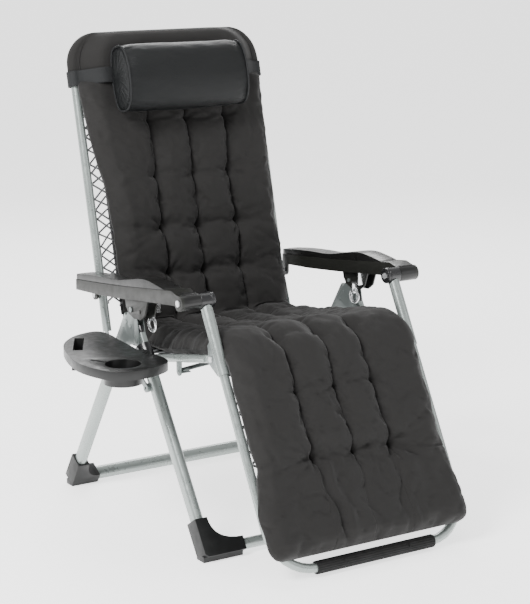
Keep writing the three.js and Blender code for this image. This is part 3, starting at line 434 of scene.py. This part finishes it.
def dress_cad_nodes(materials):
    look_of = {family: look for look, families in CAD_LOOKS.items() for family in families}
    for name, obj in NODES.items():
        family = node_family(name)
        if family not in look_of:
            continue
        obj.data.materials.clear()
        obj.data.materials.append(materials[look_of[family]])
        weld = obj.modifiers.new("weld", "WELD")
        weld.merge_threshold = 0.00002
        if family in EDGE_ROUNDING:
            bevel = obj.modifiers.new("rounding", "BEVEL")
            bevel.width = EDGE_ROUNDING[family]
            bevel.segments = 3
            bevel.limit_method = "ANGLE"
            bevel.angle_limit = math.radians(35)
            bevel.use_clamp_overlap = True
        set_smooth_by_angle(obj, 34)


def set_smooth_by_angle(obj, degrees):
    """Smooth shading, with edges sharper than an angle kept crisp."""
    obj.data.polygons.foreach_set("use_smooth", [True] * len(obj.data.polygons))
    bpy.context.view_layer.objects.active = obj
    split = obj.modifiers.new("crisp", "EDGE_SPLIT")
    split.split_angle = math.radians(degrees)


# ---- cushion -------------------------------------------------------------------------------

LIFT = 0.004                       # underside of the cushion above the slings' middle
BACK_SEAMS = (-0.092, 0.017, 0.131)   # x of the three seams, from the middle
LEG_SEAMS = (-0.121, -0.009, 0.098)
BACK_EDGES = (-0.232, 0.272)       # x of the side edges low on the back
LEG_EDGES = (-0.272, 0.263)
BACK_TUFTS = (0.222, 0.368, 0.505, 0.630)  # down from the top bar
LEG_TUFTS = (0.138, 0.262, 0.421)          # down from the armrest pivot
SEAT_TUFTS = (0.075, -0.070, -0.200)       # y from the middle of the seat
SEAT_MIDDLE_Y = ARM_PIVOT.y + 0.281
# depth share of each tuft row's crease, from the top row down
CREASES = (0.10, 0.22, 0.75, 0.90, 0.6, 0.45, 0.45, 0.40, 0.08, 0.85)
CUSHION_TOP_DOWN = 0.002
CUSHION_HEM_DOWN = 0.640
CROWN = 0.056                      # height of the puffs over the underside
EDGE_SEAM = 0.016                  # height of the side seam over the underside
SECTION_COLUMNS = (30, 24, 24, 30)  # lattice columns in each strip between the seams
SEAM_HOLD = 0.9                    # how firmly the seams are pinned between the tufts
SWELL_LIMIT = 0.006                # furthest that the simulation moves the cover


def filleted(corners, radii, step=0.0055):
    """Points, about a step apart, along a side-view polyline whose corners are rounded."""
    pieces = [corners[0]]
    for before, corner, after, radius in zip(corners, corners[1:], corners[2:], radii):
        a = (before - corner).normalized()
        b = (after - corner).normalized()
        half = a.angle(b) / 2
        reach = radius / math.tan(half)
        centre = corner + (a + b).normalized() * (radius / math.sin(half))
        start, end = corner + a * reach - centre, corner + b * reach - centre
        angle = start.angle(end)
        axis = start.cross(end).normalized()
        count = max(4, int(angle * radius / 0.003))
        for k in range(count + 1):
            turn = angle * k / count
            pieces.append(centre + start * math.cos(turn) + axis.cross(start) * math.sin(turn))
    pieces.append(corners[-1])
    points = np.array([tuple(p) for p in pieces])
    lengths = np.r_[0, np.cumsum(np.linalg.norm(np.diff(points, axis=0), axis=1))]
    places = np.linspace(0, lengths[-1], int(round(lengths[-1] / step)) + 1)
    return np.column_stack([np.interp(places, lengths, points[:, k]) for k in range(3)]), places


def line_crossing(p, d, q, e):
    """Where two side-view lines meet."""
    det = d.y * -e.z + e.y * d.z
    t = ((q.y - p.y) * -e.z + e.y * (q.z - p.z)) / det
    return p + d * t


def support_path(lift, top_down, radii, hem_down=None, front_y=None):
    """Side-view line above the slings: down the back, along the seat and, with hem_down, down the leg."""
    top = back_at(0, top_down, lift)
    bend = RAIL_BEND + Vector((0, 0, lift))
    rear = HIP_PIVOT - RAIL_BEND
    front = RAIL_BEND - KNEE_PIVOT
    hip = line_crossing(top, -BACK_UP, HIP_PIVOT + Vector((0, 0, lift)), rear)
    corners = [top, hip, bend]
    if hem_down is None:
        corners.append(bend - front * ((bend.y - front_y) / front.y))
    else:
        hem = leg_at(0, hem_down, lift)
        corners += [line_crossing(hem, -LEG_DOWN, bend, -front), hem]
    for corner in corners:
        corner.x = MID_X
    return filleted(corners, radii)


def nearest_place(path, places, point):
    point = np.array(tuple(point))
    point[0] = path[0, 0]
    return places[np.argmin(np.linalg.norm(path - point, axis=1))]


def tuft_places(path, places):
    marks = [back_at(0, down, LIFT) for down in BACK_TUFTS]
    for y in SEAT_TUFTS:
        place = Vector((MID_X, SEAT_MIDDLE_Y + y, 0))
        place.z = rail_height(place.y)
        marks.append(place)
    marks += [leg_at(0, down, LIFT) for down in LEG_TUFTS]
    return [nearest_place(path, places, mark) for mark in marks]


def wave(x, pitch, phase=0.0):
    return np.sin(2 * math.pi * x / pitch + phase)


def smoothstep(x, low, high):
    t = np.clip((x - low) / (high - low), 0, 1)
    return t * t * (3 - 2 * t)


def bell(x, width):
    return np.exp(-(x / width) ** 2)


def quarter_round(t):
    """Rise of a quarter circle, from 0 at 0 to 1 at 1."""
    return np.sqrt(1 - (1 - np.clip(t, 0, 1)) ** 2)


def spike(x, width):
    return np.exp(-np.abs(x) / width)


def wander(places, seed, pitch):
    """Smooth random line through places, from -1 to 1."""
    return np.array([noise.noise(Vector((p / pitch, seed * 4.7, 0.3))) for p in places])


class CushionPlan:
    """Where the cushion's seams, tufts, rows and edges lie along its length."""

    def __init__(self):
        radii = (0.070, 0.30, 0.052)
        self.path, self.places = support_path(LIFT, CUSHION_TOP_DOWN, radii, CUSHION_HEM_DOWN)
        p = self.places
        self.tufts = tuft_places(self.path, p)
        hip = nearest_place(self.path, p, HIP_PIVOT)
        knee = nearest_place(self.path, p, KNEE_PIVOT)
        self.last_row = self.tufts[-1]
        to_leg = smoothstep(p, hip, knee)
        self.seams = []
        for k, (high, low) in enumerate(zip(BACK_SEAMS, LEG_SEAMS)):
            line = high + (low - high) * to_leg
            self.seams.append(line + 0.009 * wander(p, k + 1, 0.15) + 0.002 * wander(p, k + 5, 0.05))
        top = 1 - smoothstep(p, 0.10, 0.52)
        flare = smoothstep(p, self.last_row - 0.02, self.last_row + 0.13)
        rounding = 0.030 * (1 - quarter_round((p[-1] - p) / 0.040))
        pinch = sum(c * bell(p - t, 0.02) for c, t in zip(CREASES, self.tufts)) * 0.005
        left = BACK_EDGES[0] + (LEG_EDGES[0] - BACK_EDGES[0]) * to_leg - 0.046 * top - 0.024 * flare
        right = BACK_EDGES[1] + (LEG_EDGES[1] - BACK_EDGES[1]) * to_leg + 0.012 * flare
        under_hood = hood_half_width(p + CUSHION_TOP_DOWN) - 0.024 + 0.1 * smoothstep(p, 0.10, 0.16)
        self.left = np.maximum(left + rounding + pinch + 0.004 * wander(p, 9, 0.045), -under_hood)
        self.right = np.minimum(right - rounding - pinch + 0.004 * wander(p, 12, 0.045), under_hood)

    def lines(self):
        return [self.left, *self.seams, self.right]


def lattice_columns(plan):
    """x of every lattice point, with columns gathered near the seams and edges."""
    lines = plan.lines()
    columns, sections, shares = [], [], []
    for section, count in enumerate(SECTION_COLUMNS):
        share = 0.5 * (1 - np.cos(math.pi * np.arange(count) / count))
        for value in share:
            columns.append(lines[section] + (lines[section + 1] - lines[section]) * value)
            sections.append(section)
            shares.append(value)
    columns.append(lines[-1])
    sections.append(len(SECTION_COLUMNS) - 1)
    shares.append(1.0)
    return np.array(columns).T, np.array(sections), np.array(shares)


def quilt_height(plan, sections, shares):
    """Height of the cover over the underside, without the ends and edges."""
    p = plan.places[:, None]
    rows_near = sum(c * bell(p - t, 0.030) for c, t in zip(CREASES, plan.tufts))
    tuft_near = sum(spike(p - t, 0.011) for t in plan.tufts)
    loose = smoothstep(p, plan.last_row, plan.last_row + 0.030)
    top = 1 - smoothstep(p, 0.06, 0.28)
    crown = CROWN - 0.007 * np.clip(rows_near, 0, 1) - 0.012 * top - 0.010 * loose
    seam = crown - 0.019 - 0.012 * np.clip(tuft_near, 0, 1)
    seam = seam + (crown - 0.002 - seam) * loose
    c = 2 * shares - 1
    outer_left, outer_right = sections == 0, sections == 3
    c = np.where(outer_left, np.maximum(c, 0), np.where(outer_right, np.minimum(c, 0), c))
    arc = (1 - np.abs(c) ** 3.0) ** 0.5
    return seam + (crown - seam) * arc[None, :]


def tuft_wrinkles(plan, x):
    """Dimples, radial wrinkles and row creases round the tufts."""
    p = plan.places[:, None]
    rise = np.zeros_like(x)
    middle = 0.5 * (plan.left + plan.right)[:, None]
    for number, (place, share) in enumerate(zip(plan.tufts, CREASES)):
        row = int(np.argmin(np.abs(plan.places - place)))
        for k, seam in enumerate(plan.seams):
            dx, ds = x - seam[row], p - place
            reach = np.sqrt(dx ** 2 + ds ** 2)
            angle = np.arctan2(ds, dx)
            rays = np.sin(7 * angle + 1.7 * number + 2.9 * k) + 0.7 * np.sin(11 * angle + 3.1 * k + number)
            rise -= (0.006 + 0.004 * share) * spike(reach, 0.012)
            rise += 0.0022 * (0.4 + 0.6 * share) * rays * bell(reach - 0.026, 0.020)
        drift = 0.006 * wave(x - middle, 0.17, number) + 0.003 * wave(x, 0.061, 2.0 * number)
        line = p - place - drift
        outside = np.maximum(plan.seams[0][row] - x, x - plan.seams[-1][row])
        reach = 1 - 0.7 * smoothstep(outside, 0.0, 0.10)
        rise -= share * reach * (0.0060 * spike(line, 0.0045) + 0.0042 * bell(line, 0.020))
        ruck = wave(x, 0.027, number) + wave(x, 0.043, 2.3 * number)
        rise += share * 0.0012 * ruck * bell(np.abs(line) - 0.016, 0.014)
        for side in (-1, 1):
            edge = plan.seams[0 if side < 0 else -1][row]
            beyond = side * (x - edge)
            for k, slope in enumerate((-0.55, -0.16, 0.22, 0.6)):
                ray = p - place - slope * beyond - 0.006 * math.sin(3 * number + 2 * k + side)
                grow = smoothstep(beyond, 0.004, 0.03) * (1 - smoothstep(beyond, 0.05 + 0.012 * k, 0.13))
                rise -= (0.25 + 0.75 * share) * 0.0042 * bell(ray, 0.0050) * grow
    return rise


def loose_folds(plan, x):
    """Upright folds of the loose panel under the last row, which start at its tufts."""
    p = plan.places[:, None]
    fade = smoothstep(p, plan.last_row + 0.004, plan.last_row + 0.030) * (1 - 0.45 * smoothstep(
        p, plan.last_row + 0.14, plan.places[-1]))
    run = p - plan.last_row
    rise = np.zeros_like(x)
    folds = ((0.004, 0.17, 0.009, 1.0), (0.052, -0.10, 0.013, 0.30), (0.112, 0.08, 0.012, 0.35),
             (0.165, 0.24, 0.017, 0.16), (0.222, -0.06, 0.012, 0.45), (0.272, 0.16, 0.018, 0.22),
             (-0.050, -0.20, 0.014, 0.26))
    start = plan.seams[0][-1]
    for offset, lean, width, depth in folds:
        centre = start + offset + lean * run + 0.006 * wave(run, 0.11, offset * 40)
        ridge = 0.007 * bell(x - centre - 1.9 * width, 1.3 * width)
        rise += depth * (-0.011 * bell(x - centre, width) + ridge)
    hem = plan.places[-1] - 0.020
    gather = np.array([[noise.noise(Vector((value * 24, 0.7, 5.1))) for value in x[-1]]])
    rise += 0.0060 * gather * bell(p - hem, 0.034)
    rise -= 0.0040 * bell(p - hem + 0.006, 0.005)
    return rise * fade


def end_and_edge(plan, x, height):
    """Rounds the height down to the edge line at the sides, the top and the hem."""
    p = plan.places[:, None]
    left, right = plan.left[:, None], plan.right[:, None]
    inset = np.minimum(x - left, right - x)
    side = quarter_round(inset / 0.040) ** 0.85
    tail = quarter_round((plan.places[-1] - p) / 0.034)
    head = quarter_round(p / 0.050)
    return EDGE_SEAM + (height - EDGE_SEAM) * side * tail * head


def lay_on_path(plan, x, height):
    """Points over the support path, by x from the middle and height."""
    tangents = np.gradient(plan.path, axis=0)
    tangents /= np.linalg.norm(tangents, axis=1)[:, None]
    normals = np.cross(tangents, np.array([1.0, 0, 0]))
    normals /= np.linalg.norm(normals, axis=1)[:, None]
    points = plan.path[:, None, :] + normals[:, None, :] * height[:, :, None]
    points[:, :, 0] += x
    return points, normals


def inflate(obj, pins, frames=16, pressure=3.0, grow=-0.03):
    """Cloth simulation of the cover: pins hold the seams, the rest swells and wrinkles."""
    group = obj.vertex_groups.new(name="pins")
    for weight in sorted(set(pins.values())):
        group.add([i for i, w in pins.items() if w == weight], weight, "REPLACE")
    cloth = obj.modifiers.new("cloth", "CLOTH")
    settings = cloth.settings
    settings.quality = 5
    settings.mass = 0.25
    settings.air_damping = 2.0
    settings.tension_stiffness = 12
    settings.compression_stiffness = 8
    settings.shear_stiffness = 4
    settings.bending_stiffness = 0.25
    settings.tension_damping = settings.compression_damping = settings.shear_damping = 8
    settings.use_pressure = True
    settings.uniform_pressure_force = pressure
    settings.shrink_min = grow
    settings.vertex_group_mass = "pins"
    settings.effector_weights.gravity = 0
    cloth.collision_settings.use_collision = False
    cloth.point_cache.frame_start = 1
    cloth.point_cache.frame_end = frames
    scene = bpy.context.scene
    scene.frame_start, scene.frame_end = 1, frames
    for number in range(1, frames + 1):
        scene.frame_set(number)
    graph = bpy.context.evaluated_depsgraph_get()
    mesh = obj.evaluated_get(graph).to_mesh()
    moved = np.empty(len(mesh.vertices) * 3)
    mesh.vertices.foreach_get("co", moved)
    obj.evaluated_get(graph).to_mesh_clear()
    obj.modifiers.remove(cloth)
    obj.vertex_groups.clear()
    scene.frame_set(1)
    return moved.reshape(-1, 3)


def fabric_noise(points, scale, depth, seed):
    """Small random rise of each point, from smooth noise."""
    offset = Vector((seed * 7.3, seed * 3.1, seed * 5.7))
    return np.array([noise.noise(Vector(p) * scale + offset) for p in points]) * depth


def under_hood_share(plan):
    """1 where the hood covers the cushion and 0 where it doesn't, for each row."""
    return 1 - smoothstep(plan.places[:, None], 0.092, 0.124)


def cover_height(plan, x, sections, shares):
    """Height of the whole cover over its underside, pressed down under the hood."""
    height = quilt_height(plan, sections, shares) + tuft_wrinkles(plan, x) + loose_folds(plan, x)
    half = hood_half_width(plan.places[:, None] + CUSHION_TOP_DOWN)
    room = hood_front(x, half) - LIFT - 0.010
    height = height + (np.minimum(height, room) - height) * under_hood_share(plan)
    return end_and_edge(plan, x, height)


def pinned_vertices(plan, inner, number, below):
    """Pin weights: the underside, the ends and the edges stay, and the seams hold."""
    rows, columns = len(plan.places), sum(SECTION_COLUMNS) + 1
    pins = {below[i, j]: 1.0 for i, j in inner}
    pins.update({number[i, j]: 1.0 for i in (0, rows - 1) for j in range(columns)})
    pins.update({number[i, j]: 1.0 for i in range(rows) for j in (0, columns - 1)})
    tuft_rows = [int(np.argmin(np.abs(plan.places - t))) for t in plan.tufts]
    for j in np.cumsum(SECTION_COLUMNS)[:-1]:
        pins.update({number[i, j]: SEAM_HOLD for i in range(1, tuft_rows[-1])})
        pins.update({number[i, j]: 1.0 for i in tuft_rows})
    return pins


def swell(cover, pins, vertices, down):
    """Vertices after the simulation, with a limited move that fades out under the hood."""
    shift = inflate(cover, pins) - vertices
    size = np.linalg.norm(shift, axis=1)
    shift *= np.where(size > SWELL_LIMIT, SWELL_LIMIT / np.maximum(size, 1e-9), 1)[:, None]
    return vertices + shift * smoothstep(down, 0.10, 0.16)[:, None]


def rumple(plan, top, normals):
    """Adds soft and fine unevenness and thin creases to the cover's top vertices."""
    rise = fabric_noise(top, 13, 0.0060, 1) + fabric_noise(top, 42, 0.0022, 2)
    creased = np.abs(fabric_noise(top * (1.0, 0.6, 0.6), 26, 1.0, 3))
    rise -= 0.0034 * np.exp(-(creased / 0.05) ** 2)
    rows, columns = len(plan.places), sum(SECTION_COLUMNS) + 1
    free = np.zeros((rows, columns))
    free[1:-1, 1:-1] = (1 - under_hood_share(plan))[1:-1]
    return top + np.repeat(normals, columns, axis=0) * (rise * free.ravel())[:, None]


def make_cushion(materials):
    plan = CushionPlan()
    x, sections, shares = lattice_columns(plan)
    rows, columns = x.shape
    top, normals = lay_on_path(plan, x, cover_height(plan, x, sections, shares))
    inset = np.minimum(x - plan.left[:, None], plan.right[:, None] - x)
    under = EDGE_SEAM * (1 - np.clip(inset / 0.026, 0, 1)) ** 1.6 + 0.0005
    bottom, _ = lay_on_path(plan, x, under)

    # one closed lattice: the top, then the inner part of the underside
    inner = [(i, j) for i in range(1, rows - 1) for j in range(1, columns - 1)]
    number = {(i, j): i * columns + j for i in range(rows) for j in range(columns)}
    below = dict(number)
    for k, place in enumerate(inner):
        below[place] = rows * columns + k
    vertices = np.vstack([top.reshape(-1, 3), np.array([bottom[i, j] for i, j in inner])])
    faces = []
    for i in range(rows - 1):
        for j in range(columns - 1):
            faces.append((number[i, j], number[i + 1, j], number[i + 1, j + 1], number[i, j + 1]))
            faces.append((below[i, j], below[i, j + 1], below[i + 1, j + 1], below[i + 1, j]))
    uvs = [(x[i, j], plan.places[i]) for i, j in [*number, *inner]]
    cover = new_object("cushion", vertices, faces, materials["cushion"], uvs)

    down = np.array([place for _, place in uvs])
    vertices = swell(cover, pinned_vertices(plan, inner, number, below), vertices, down)
    count = rows * columns
    vertices[:count] = rumple(plan, vertices[:count], normals)
    cover.data.vertices.foreach_set("co", vertices.ravel())
    cover.data.update()
    split_cushion(cover)


def keep_faces(mesh, keep):
    """Deletes the faces whose centre doesn't pass a test."""
    work = bmesh.new()
    work.from_mesh(mesh)
    gone = [face for face in work.faces if not keep(face.calc_center_median())]
    bmesh.ops.delete(work, geom=gone, context="FACES")
    work.to_mesh(mesh)
    work.free()


def blend_at_hip(piece):
    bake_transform(piece)


def blend_at_knee(piece):
    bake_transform(piece)


def split_cushion(cover):
    """Cuts the cushion across the middle of the seat, so that each half crosses one hinge only."""
    cut_y = SEAT_MIDDLE_Y - 0.004
    halves = []
    for name, side in (("cushion_back_and_seat", 1), ("cushion_seat_and_leg", -1)):
        mesh = cover.data.copy()
        keep_faces(mesh, lambda centre: (centre.y - cut_y) * side > 0)
        half = bpy.data.objects.new(name, mesh)
        bpy.context.scene.collection.objects.link(half)
        halves.append(half)
    bpy.data.objects.remove(cover)
    rear, front = halves
    blend_at_hip(rear)
    blend_at_knee(front)
    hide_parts("back_cushion", "seat_cushion")
    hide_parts("leg_cushion", "knee_cushion")


# ---- hood and strap ------------------------------------------------------------------------

HOOD_HEM = 0.112      # how far the hood reaches down the back
HOOD_TOP = -0.021     # over the top bar
HOOD_HALF = 0.290
HOOD_CORNER = 0.088   # corner radius, round the frame's bend
HOOD_SIDE = 0.0165     # half its depth at the sides
HOOD_FRONT = 0.056


def hood_half_width(down):
    inside = np.clip(HOOD_TOP + HOOD_CORNER - down, 0, HOOD_CORNER)
    return HOOD_HALF - HOOD_CORNER + np.sqrt(np.maximum(HOOD_CORNER ** 2 - inside ** 2, 0))


def hood_front(x, half):
    """How far out the hood's front stands at x: tube height at the sides, cushion height inside."""
    return HOOD_SIDE + (HOOD_FRONT - HOOD_SIDE) * smoothstep(half - abs(x), 0.016, 0.085)


def hood_section(down, grow=0.0, count=160):
    """Loop of (x, out) points round the frame and cushion at a distance down the back."""
    rounding = float(quarter_round((down - HOOD_TOP) / 0.050))
    half = float(hood_half_width(down)) + grow
    side_r = HOOD_SIDE * min(1.0, 0.25 + rounding)
    flat = half - side_r
    loop = []
    for k in range(count // 2 - 12):
        x = flat * math.cos(math.pi * k / (count // 2 - 13))
        loop.append((x, float(side_r + (hood_front(x, half) - side_r) * rounding + grow)))
    for k in range(1, 13):
        angle = math.pi / 2 + math.pi * k / 13
        loop.append((-flat + side_r * math.cos(angle), (side_r + grow) * math.sin(angle)))
    for k in range(count // 2 - 12):
        x = -flat * math.cos(math.pi * k / (count // 2 - 13))
        loop.append((x, -side_r - grow))
    for k in range(1, 13):
        angle = -math.pi / 2 + math.pi * k / 13
        loop.append((flat + side_r * math.cos(angle), (side_r + grow) * math.sin(angle)))
    return loop


def make_hood(materials):
    """Cloth pocket over the top of the frame, closed above and open below."""
    count = 160
    downs = [HOOD_TOP + (HOOD_HEM - HOOD_TOP) * (k / 36) ** 1.7 for k in range(37)]
    layers = [(down, 0.0) for down in downs]
    layers += [(HOOD_HEM + 0.0012, -0.0010), (HOOD_HEM, -0.0020)]
    layers += [(down, -0.0022) for down in (HOOD_HEM - 0.010, HOOD_HEM - 0.030)]
    vertices, uvs = [], []
    for down, grow in layers:
        loop = hood_section(down, grow, count)
        for k, (x, out) in enumerate(loop):
            place = back_at(x, down, out)
            if grow == 0.0:
                settle = 0.0035 * noise.noise(Vector((x * 15, down * 20, 0.4 + out * 12)))
                settle += 0.0014 * noise.noise(Vector((x * 55, down * 40, 1.4 + out * 12)))
                place += BACK_OUT * (settle if out > 0 else -abs(settle)) * min(1.0, (down - HOOD_TOP) * 30)
            vertices.append(place)
            uvs.append((x, down))
    faces = grid_faces(len(layers), count, wrap=True, flip=True)
    faces.append(tuple(range(count)))
    hood = new_object("hood", vertices, faces, materials["cushion"], uvs)
    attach(hood, "back")
    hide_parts("cushion_hood")


STRAP_FROM, STRAP_TO = 0.078, 0.118


def make_strap(materials):
    """Elastic band round the hood that holds the pillow."""
    count = 160
    profile = [(STRAP_FROM, 0.0008), (STRAP_FROM, 0.0022), (STRAP_FROM + 0.003, 0.0028)]
    profile += [(STRAP_FROM + 0.008 * k, 0.0024) for k in range(1, 5)]
    profile += [(STRAP_TO - 0.003, 0.0028), (STRAP_TO, 0.0022), (STRAP_TO, 0.0008)]
    vertices, uvs = [], []
    for down, grow in profile:
        section = hood_section(min(down, HOOD_HEM), grow, count)
        for x, out in section:
            ripple = 0.0006 * noise.noise(Vector((x * 30, down * 20, out * 30)))
            vertices.append(back_at(x * 1.003, down, out + math.copysign(0.0012, out) + ripple))
            uvs.append((x, down))
    faces = grid_faces(len(profile), count, wrap=True)
    inner = (len(profile) - 1) * count
    for k in range(count):
        after = (k + 1) % count
        faces.append((inner + k, inner + after, after, k))
    strap = new_object("pillow_strap_band", vertices, faces, materials["strap"], uvs)
    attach(strap, "headrest")
    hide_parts("pillow_strap")


# ---- pillow --------------------------------------------------------------------------------

PILLOW_MIDDLE = (-0.016, 0.117, 0.103)  # x, down, out
PILLOW_HALF = 0.176
PILLOW_SECTION = (0.087, 0.050)         # half sizes down and out


def pillow_ring(angle):
    """(down, out) of the pillow's round at an angle, from its middle."""
    c, s = math.cos(angle), math.sin(angle)
    half_down, half_out = PILLOW_SECTION
    power = 0.86 if s > 0 else 0.55
    down = half_down * math.copysign(abs(c) ** 0.86, c)
    out = half_out * math.copysign(abs(s) ** power, s)
    return down, out


def make_pillow(materials):
    """Bolster with piped ends, woven cover and shallow creases along it."""
    across, down0, out0 = PILLOW_MIDDLE
    count = 96
    stations = [-PILLOW_HALF + 2 * PILLOW_HALF * k / 64 for k in range(65)]
    vertices, uvs = [], []
    for x in stations:
        edge = 1 - 0.055 * bell(np.array(PILLOW_HALF - abs(x)), 0.020) - 0.015 * (x / PILLOW_HALF) ** 2
        for k in range(count):
            angle = 2 * math.pi * k / count
            down, out = pillow_ring(angle)
            swell = 1 + 0.022 * noise.noise(Vector((x * 6, math.cos(angle) * 1.6, math.sin(angle) * 1.6)))
            swell += 0.010 * noise.noise(Vector((x * 26, math.cos(angle) * 5, math.sin(angle) * 5)))
            pucker = bell(np.array(PILLOW_HALF - abs(x)), 0.030)
            swell += 0.010 * pucker * math.sin(23 * angle + 4 * math.sin(angle))
            scale = float(edge * swell)
            vertices.append(back_at(across + x, down0 + down * scale, out0 + out * scale))
            uvs.append((x, angle * 0.066))
    faces = grid_faces(len(stations), count, wrap=True)
    for side in (-1, 1):
        ring = 0 if side < 0 else (len(stations) - 1) * count
        last = [ring + k for k in range(count)]
        for share, bulge in ((0.90, 0.0035), (0.72, 0.0075), (0.46, 0.0100), (0.20, 0.0110)):
            start = len(vertices)
            for k in range(count):
                angle = 2 * math.pi * k / count
                down, out = pillow_ring(angle)
                ruck = 0.0012 * math.sin(17 * angle) * (1 - share) * 2 * share
                place = back_at(across + side * (PILLOW_HALF + bulge + ruck), down0 + down * share * 0.93,
                                out0 + out * share * 0.93)
                vertices.append(place)
                uvs.append((down * share, out * share))
            for k in range(count):
                after = (k + 1) % count
                quad = (last[k], last[after], start + after, start + k)
                faces.append(quad if side > 0 else tuple(reversed(quad)))
            last = [start + k for k in range(count)]
        faces.append(tuple(last) if side > 0 else tuple(reversed(last)))
    pillow = new_object("pillow", vertices, faces, materials["pillow"], uvs)
    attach(pillow, "headrest")
    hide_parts("headrest_pillow")

    piping = []
    for side in (-1, 1):
        loop = []
        for k in range(count + 1):
            down, out = pillow_ring(2 * math.pi * k / count)
            end = across + side * (PILLOW_HALF + 0.001)
            loop.append(back_at(end, down0 + down * 0.955, out0 + out * 0.955))
        piping.append(loop)
    vertices, faces, uvs = tube_mesh(piping, 0.0028, 8)
    pipes = new_object("pillow_piping", vertices, faces, materials["strap"], uvs)
    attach(pipes, "headrest")


# ---- slings and lacing ---------------------------------------------------------------------

SLING_HALF = 0.224
SLING_TOP_DOWN = 0.030
SLING_FRONT_Y = SEAT_MIDDLE_Y - 0.296
LEG_SLING = (0.150, 0.594)    # from and to, down from the armrest pivot
HEM_R = 0.0042
LACE_R = 0.0026
LACE_PITCH = 0.062


def strip_between(path, half, thickness):
    """Thin closed strip along a side-view path."""
    tangents = np.gradient(path, axis=0)
    tangents /= np.linalg.norm(tangents, axis=1)[:, None]
    normals = np.cross(tangents, np.array([1.0, 0, 0]))
    lengths = np.r_[0, np.cumsum(np.linalg.norm(np.diff(path, axis=0), axis=1))]
    columns = 20
    xs = np.linspace(-half, half, columns)
    vertices, uvs = [], []
    for level in (thickness / 2, -thickness / 2):
        for point, normal, run in zip(path, normals, lengths):
            for x in xs:
                sag = 0.004 * (1 - (x / half) ** 2)
                place = point + normal * (level - sag)
                vertices.append((place[0] + x, place[1], place[2]))
                uvs.append((x, run))
    rows = len(path)
    below = rows * columns
    faces = grid_faces(rows, columns, flip=True) + grid_faces(rows, columns, below)
    for i in range(rows - 1):
        for j in (0, columns - 1):
            a, b = i * columns + j, (i + 1) * columns + j
            quad = (a, b, below + b, below + a)
            faces.append(quad if j else tuple(reversed(quad)))
    for j in range(columns - 1):
        for i in (0, rows - 1):
            a, b = i * columns + j, i * columns + j + 1
            quad = (a, b, below + b, below + a)
            faces.append(quad if i == 0 else tuple(reversed(quad)))
    return vertices, faces, uvs, float(lengths[-1])


def lacing_paths(place_at, runs, side):
    """Hem rod and two crossing zigzags of elastic between the sling's edge and the tube's inner side."""
    hem_x = side * SLING_HALF
    tube_x = side * (TUBE_X - TUBE_R - 0.0006)
    hem = [place_at(hem_x, run, 0) for run in np.arange(runs[0], runs[1] + 0.001, 0.012)]
    laces = []
    count = int((runs[1] - runs[0] - 0.02) / LACE_PITCH)
    for phase, lift in ((0, 0.0024), (1, -0.0024)):
        points = []
        for k in range(2 * count + 1):
            run = runs[0] + 0.010 + k * LACE_PITCH / 2 + 0.005 * math.sin(5 * k + 3 * phase)
            if (k + phase) % 2:
                points += [place_at(tube_x - side * 0.004, run - 0.003, lift), place_at(tube_x, run, lift),
                           place_at(tube_x - side * 0.004, run + 0.003, lift)]
            else:
                points += [place_at(hem_x + side * 0.003, run - 0.004, HEM_R + LACE_R),
                           place_at(hem_x - side * (HEM_R + LACE_R), run, 0),
                           place_at(hem_x + side * 0.003, run + 0.004, -HEM_R - LACE_R)]
        laces.append(smooth_curve(points, 3))
    return hem, laces


def make_slings(materials):
    path, _ = support_path(0.0, SLING_TOP_DOWN, (0.050, 0.30), front_y=SLING_FRONT_Y)
    vertices, faces, uvs, length = strip_between(path, SLING_HALF, 0.0012)
    upper = new_object("sling_back_and_seat", vertices, faces, materials["sling"], uvs)
    blend_at_hip(upper)
    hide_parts("back_sling", "seat_sling")

    down = np.linspace(*LEG_SLING, 60)
    path = np.array([tuple(leg_at(0, value, 0)) for value in down])
    vertices, faces, uvs, length = strip_between(path, SLING_HALF, 0.0012)
    lower = new_object("sling_leg", vertices, faces, materials["sling"], uvs)
    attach(lower, "leg_rest")
    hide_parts("leg_sling")


def make_lacing(materials):
    seat_runs = (0.030, 0.480)
    rail_end = HIP_PIVOT.y - 0.030

    def seat_at(x, run, out):
        y = rail_end - run
        return Vector((MID_X + x, y, rail_height(y) + out))

    for tag, side in SIDES.items():
        sets = {
            "back": lacing_paths(back_at, (0.120, 0.730), side),
            "seat": lacing_paths(seat_at, seat_runs, side),
            "leg_rest": lacing_paths(leg_at, (0.150, 0.590), side),
        }
        for body, (hem, laces) in sets.items():
            kinds = (("hem", "hem", [hem], HEM_R, 8), ("lace", "cord", laces, LACE_R, 6))
            for kind, look, paths, radius, sides in kinds:
                vertices, faces, uvs = tube_mesh(paths, radius, sides)
                name = f"sling_{kind}_{body}_{tag}"
                piece = new_object(name, vertices, faces, materials[look], uvs)
                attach(piece, body)


# ---- run -----------------------------------------------------------------------------------

make_camera()
make_studio()
MATERIALS = make_materials()
dress_cad_nodes(MATERIALS)
make_cushion(MATERIALS)
make_hood(MATERIALS)
make_strap(MATERIALS)
make_pillow(MATERIALS)
make_slings(MATERIALS)
make_lacing(MATERIALS)
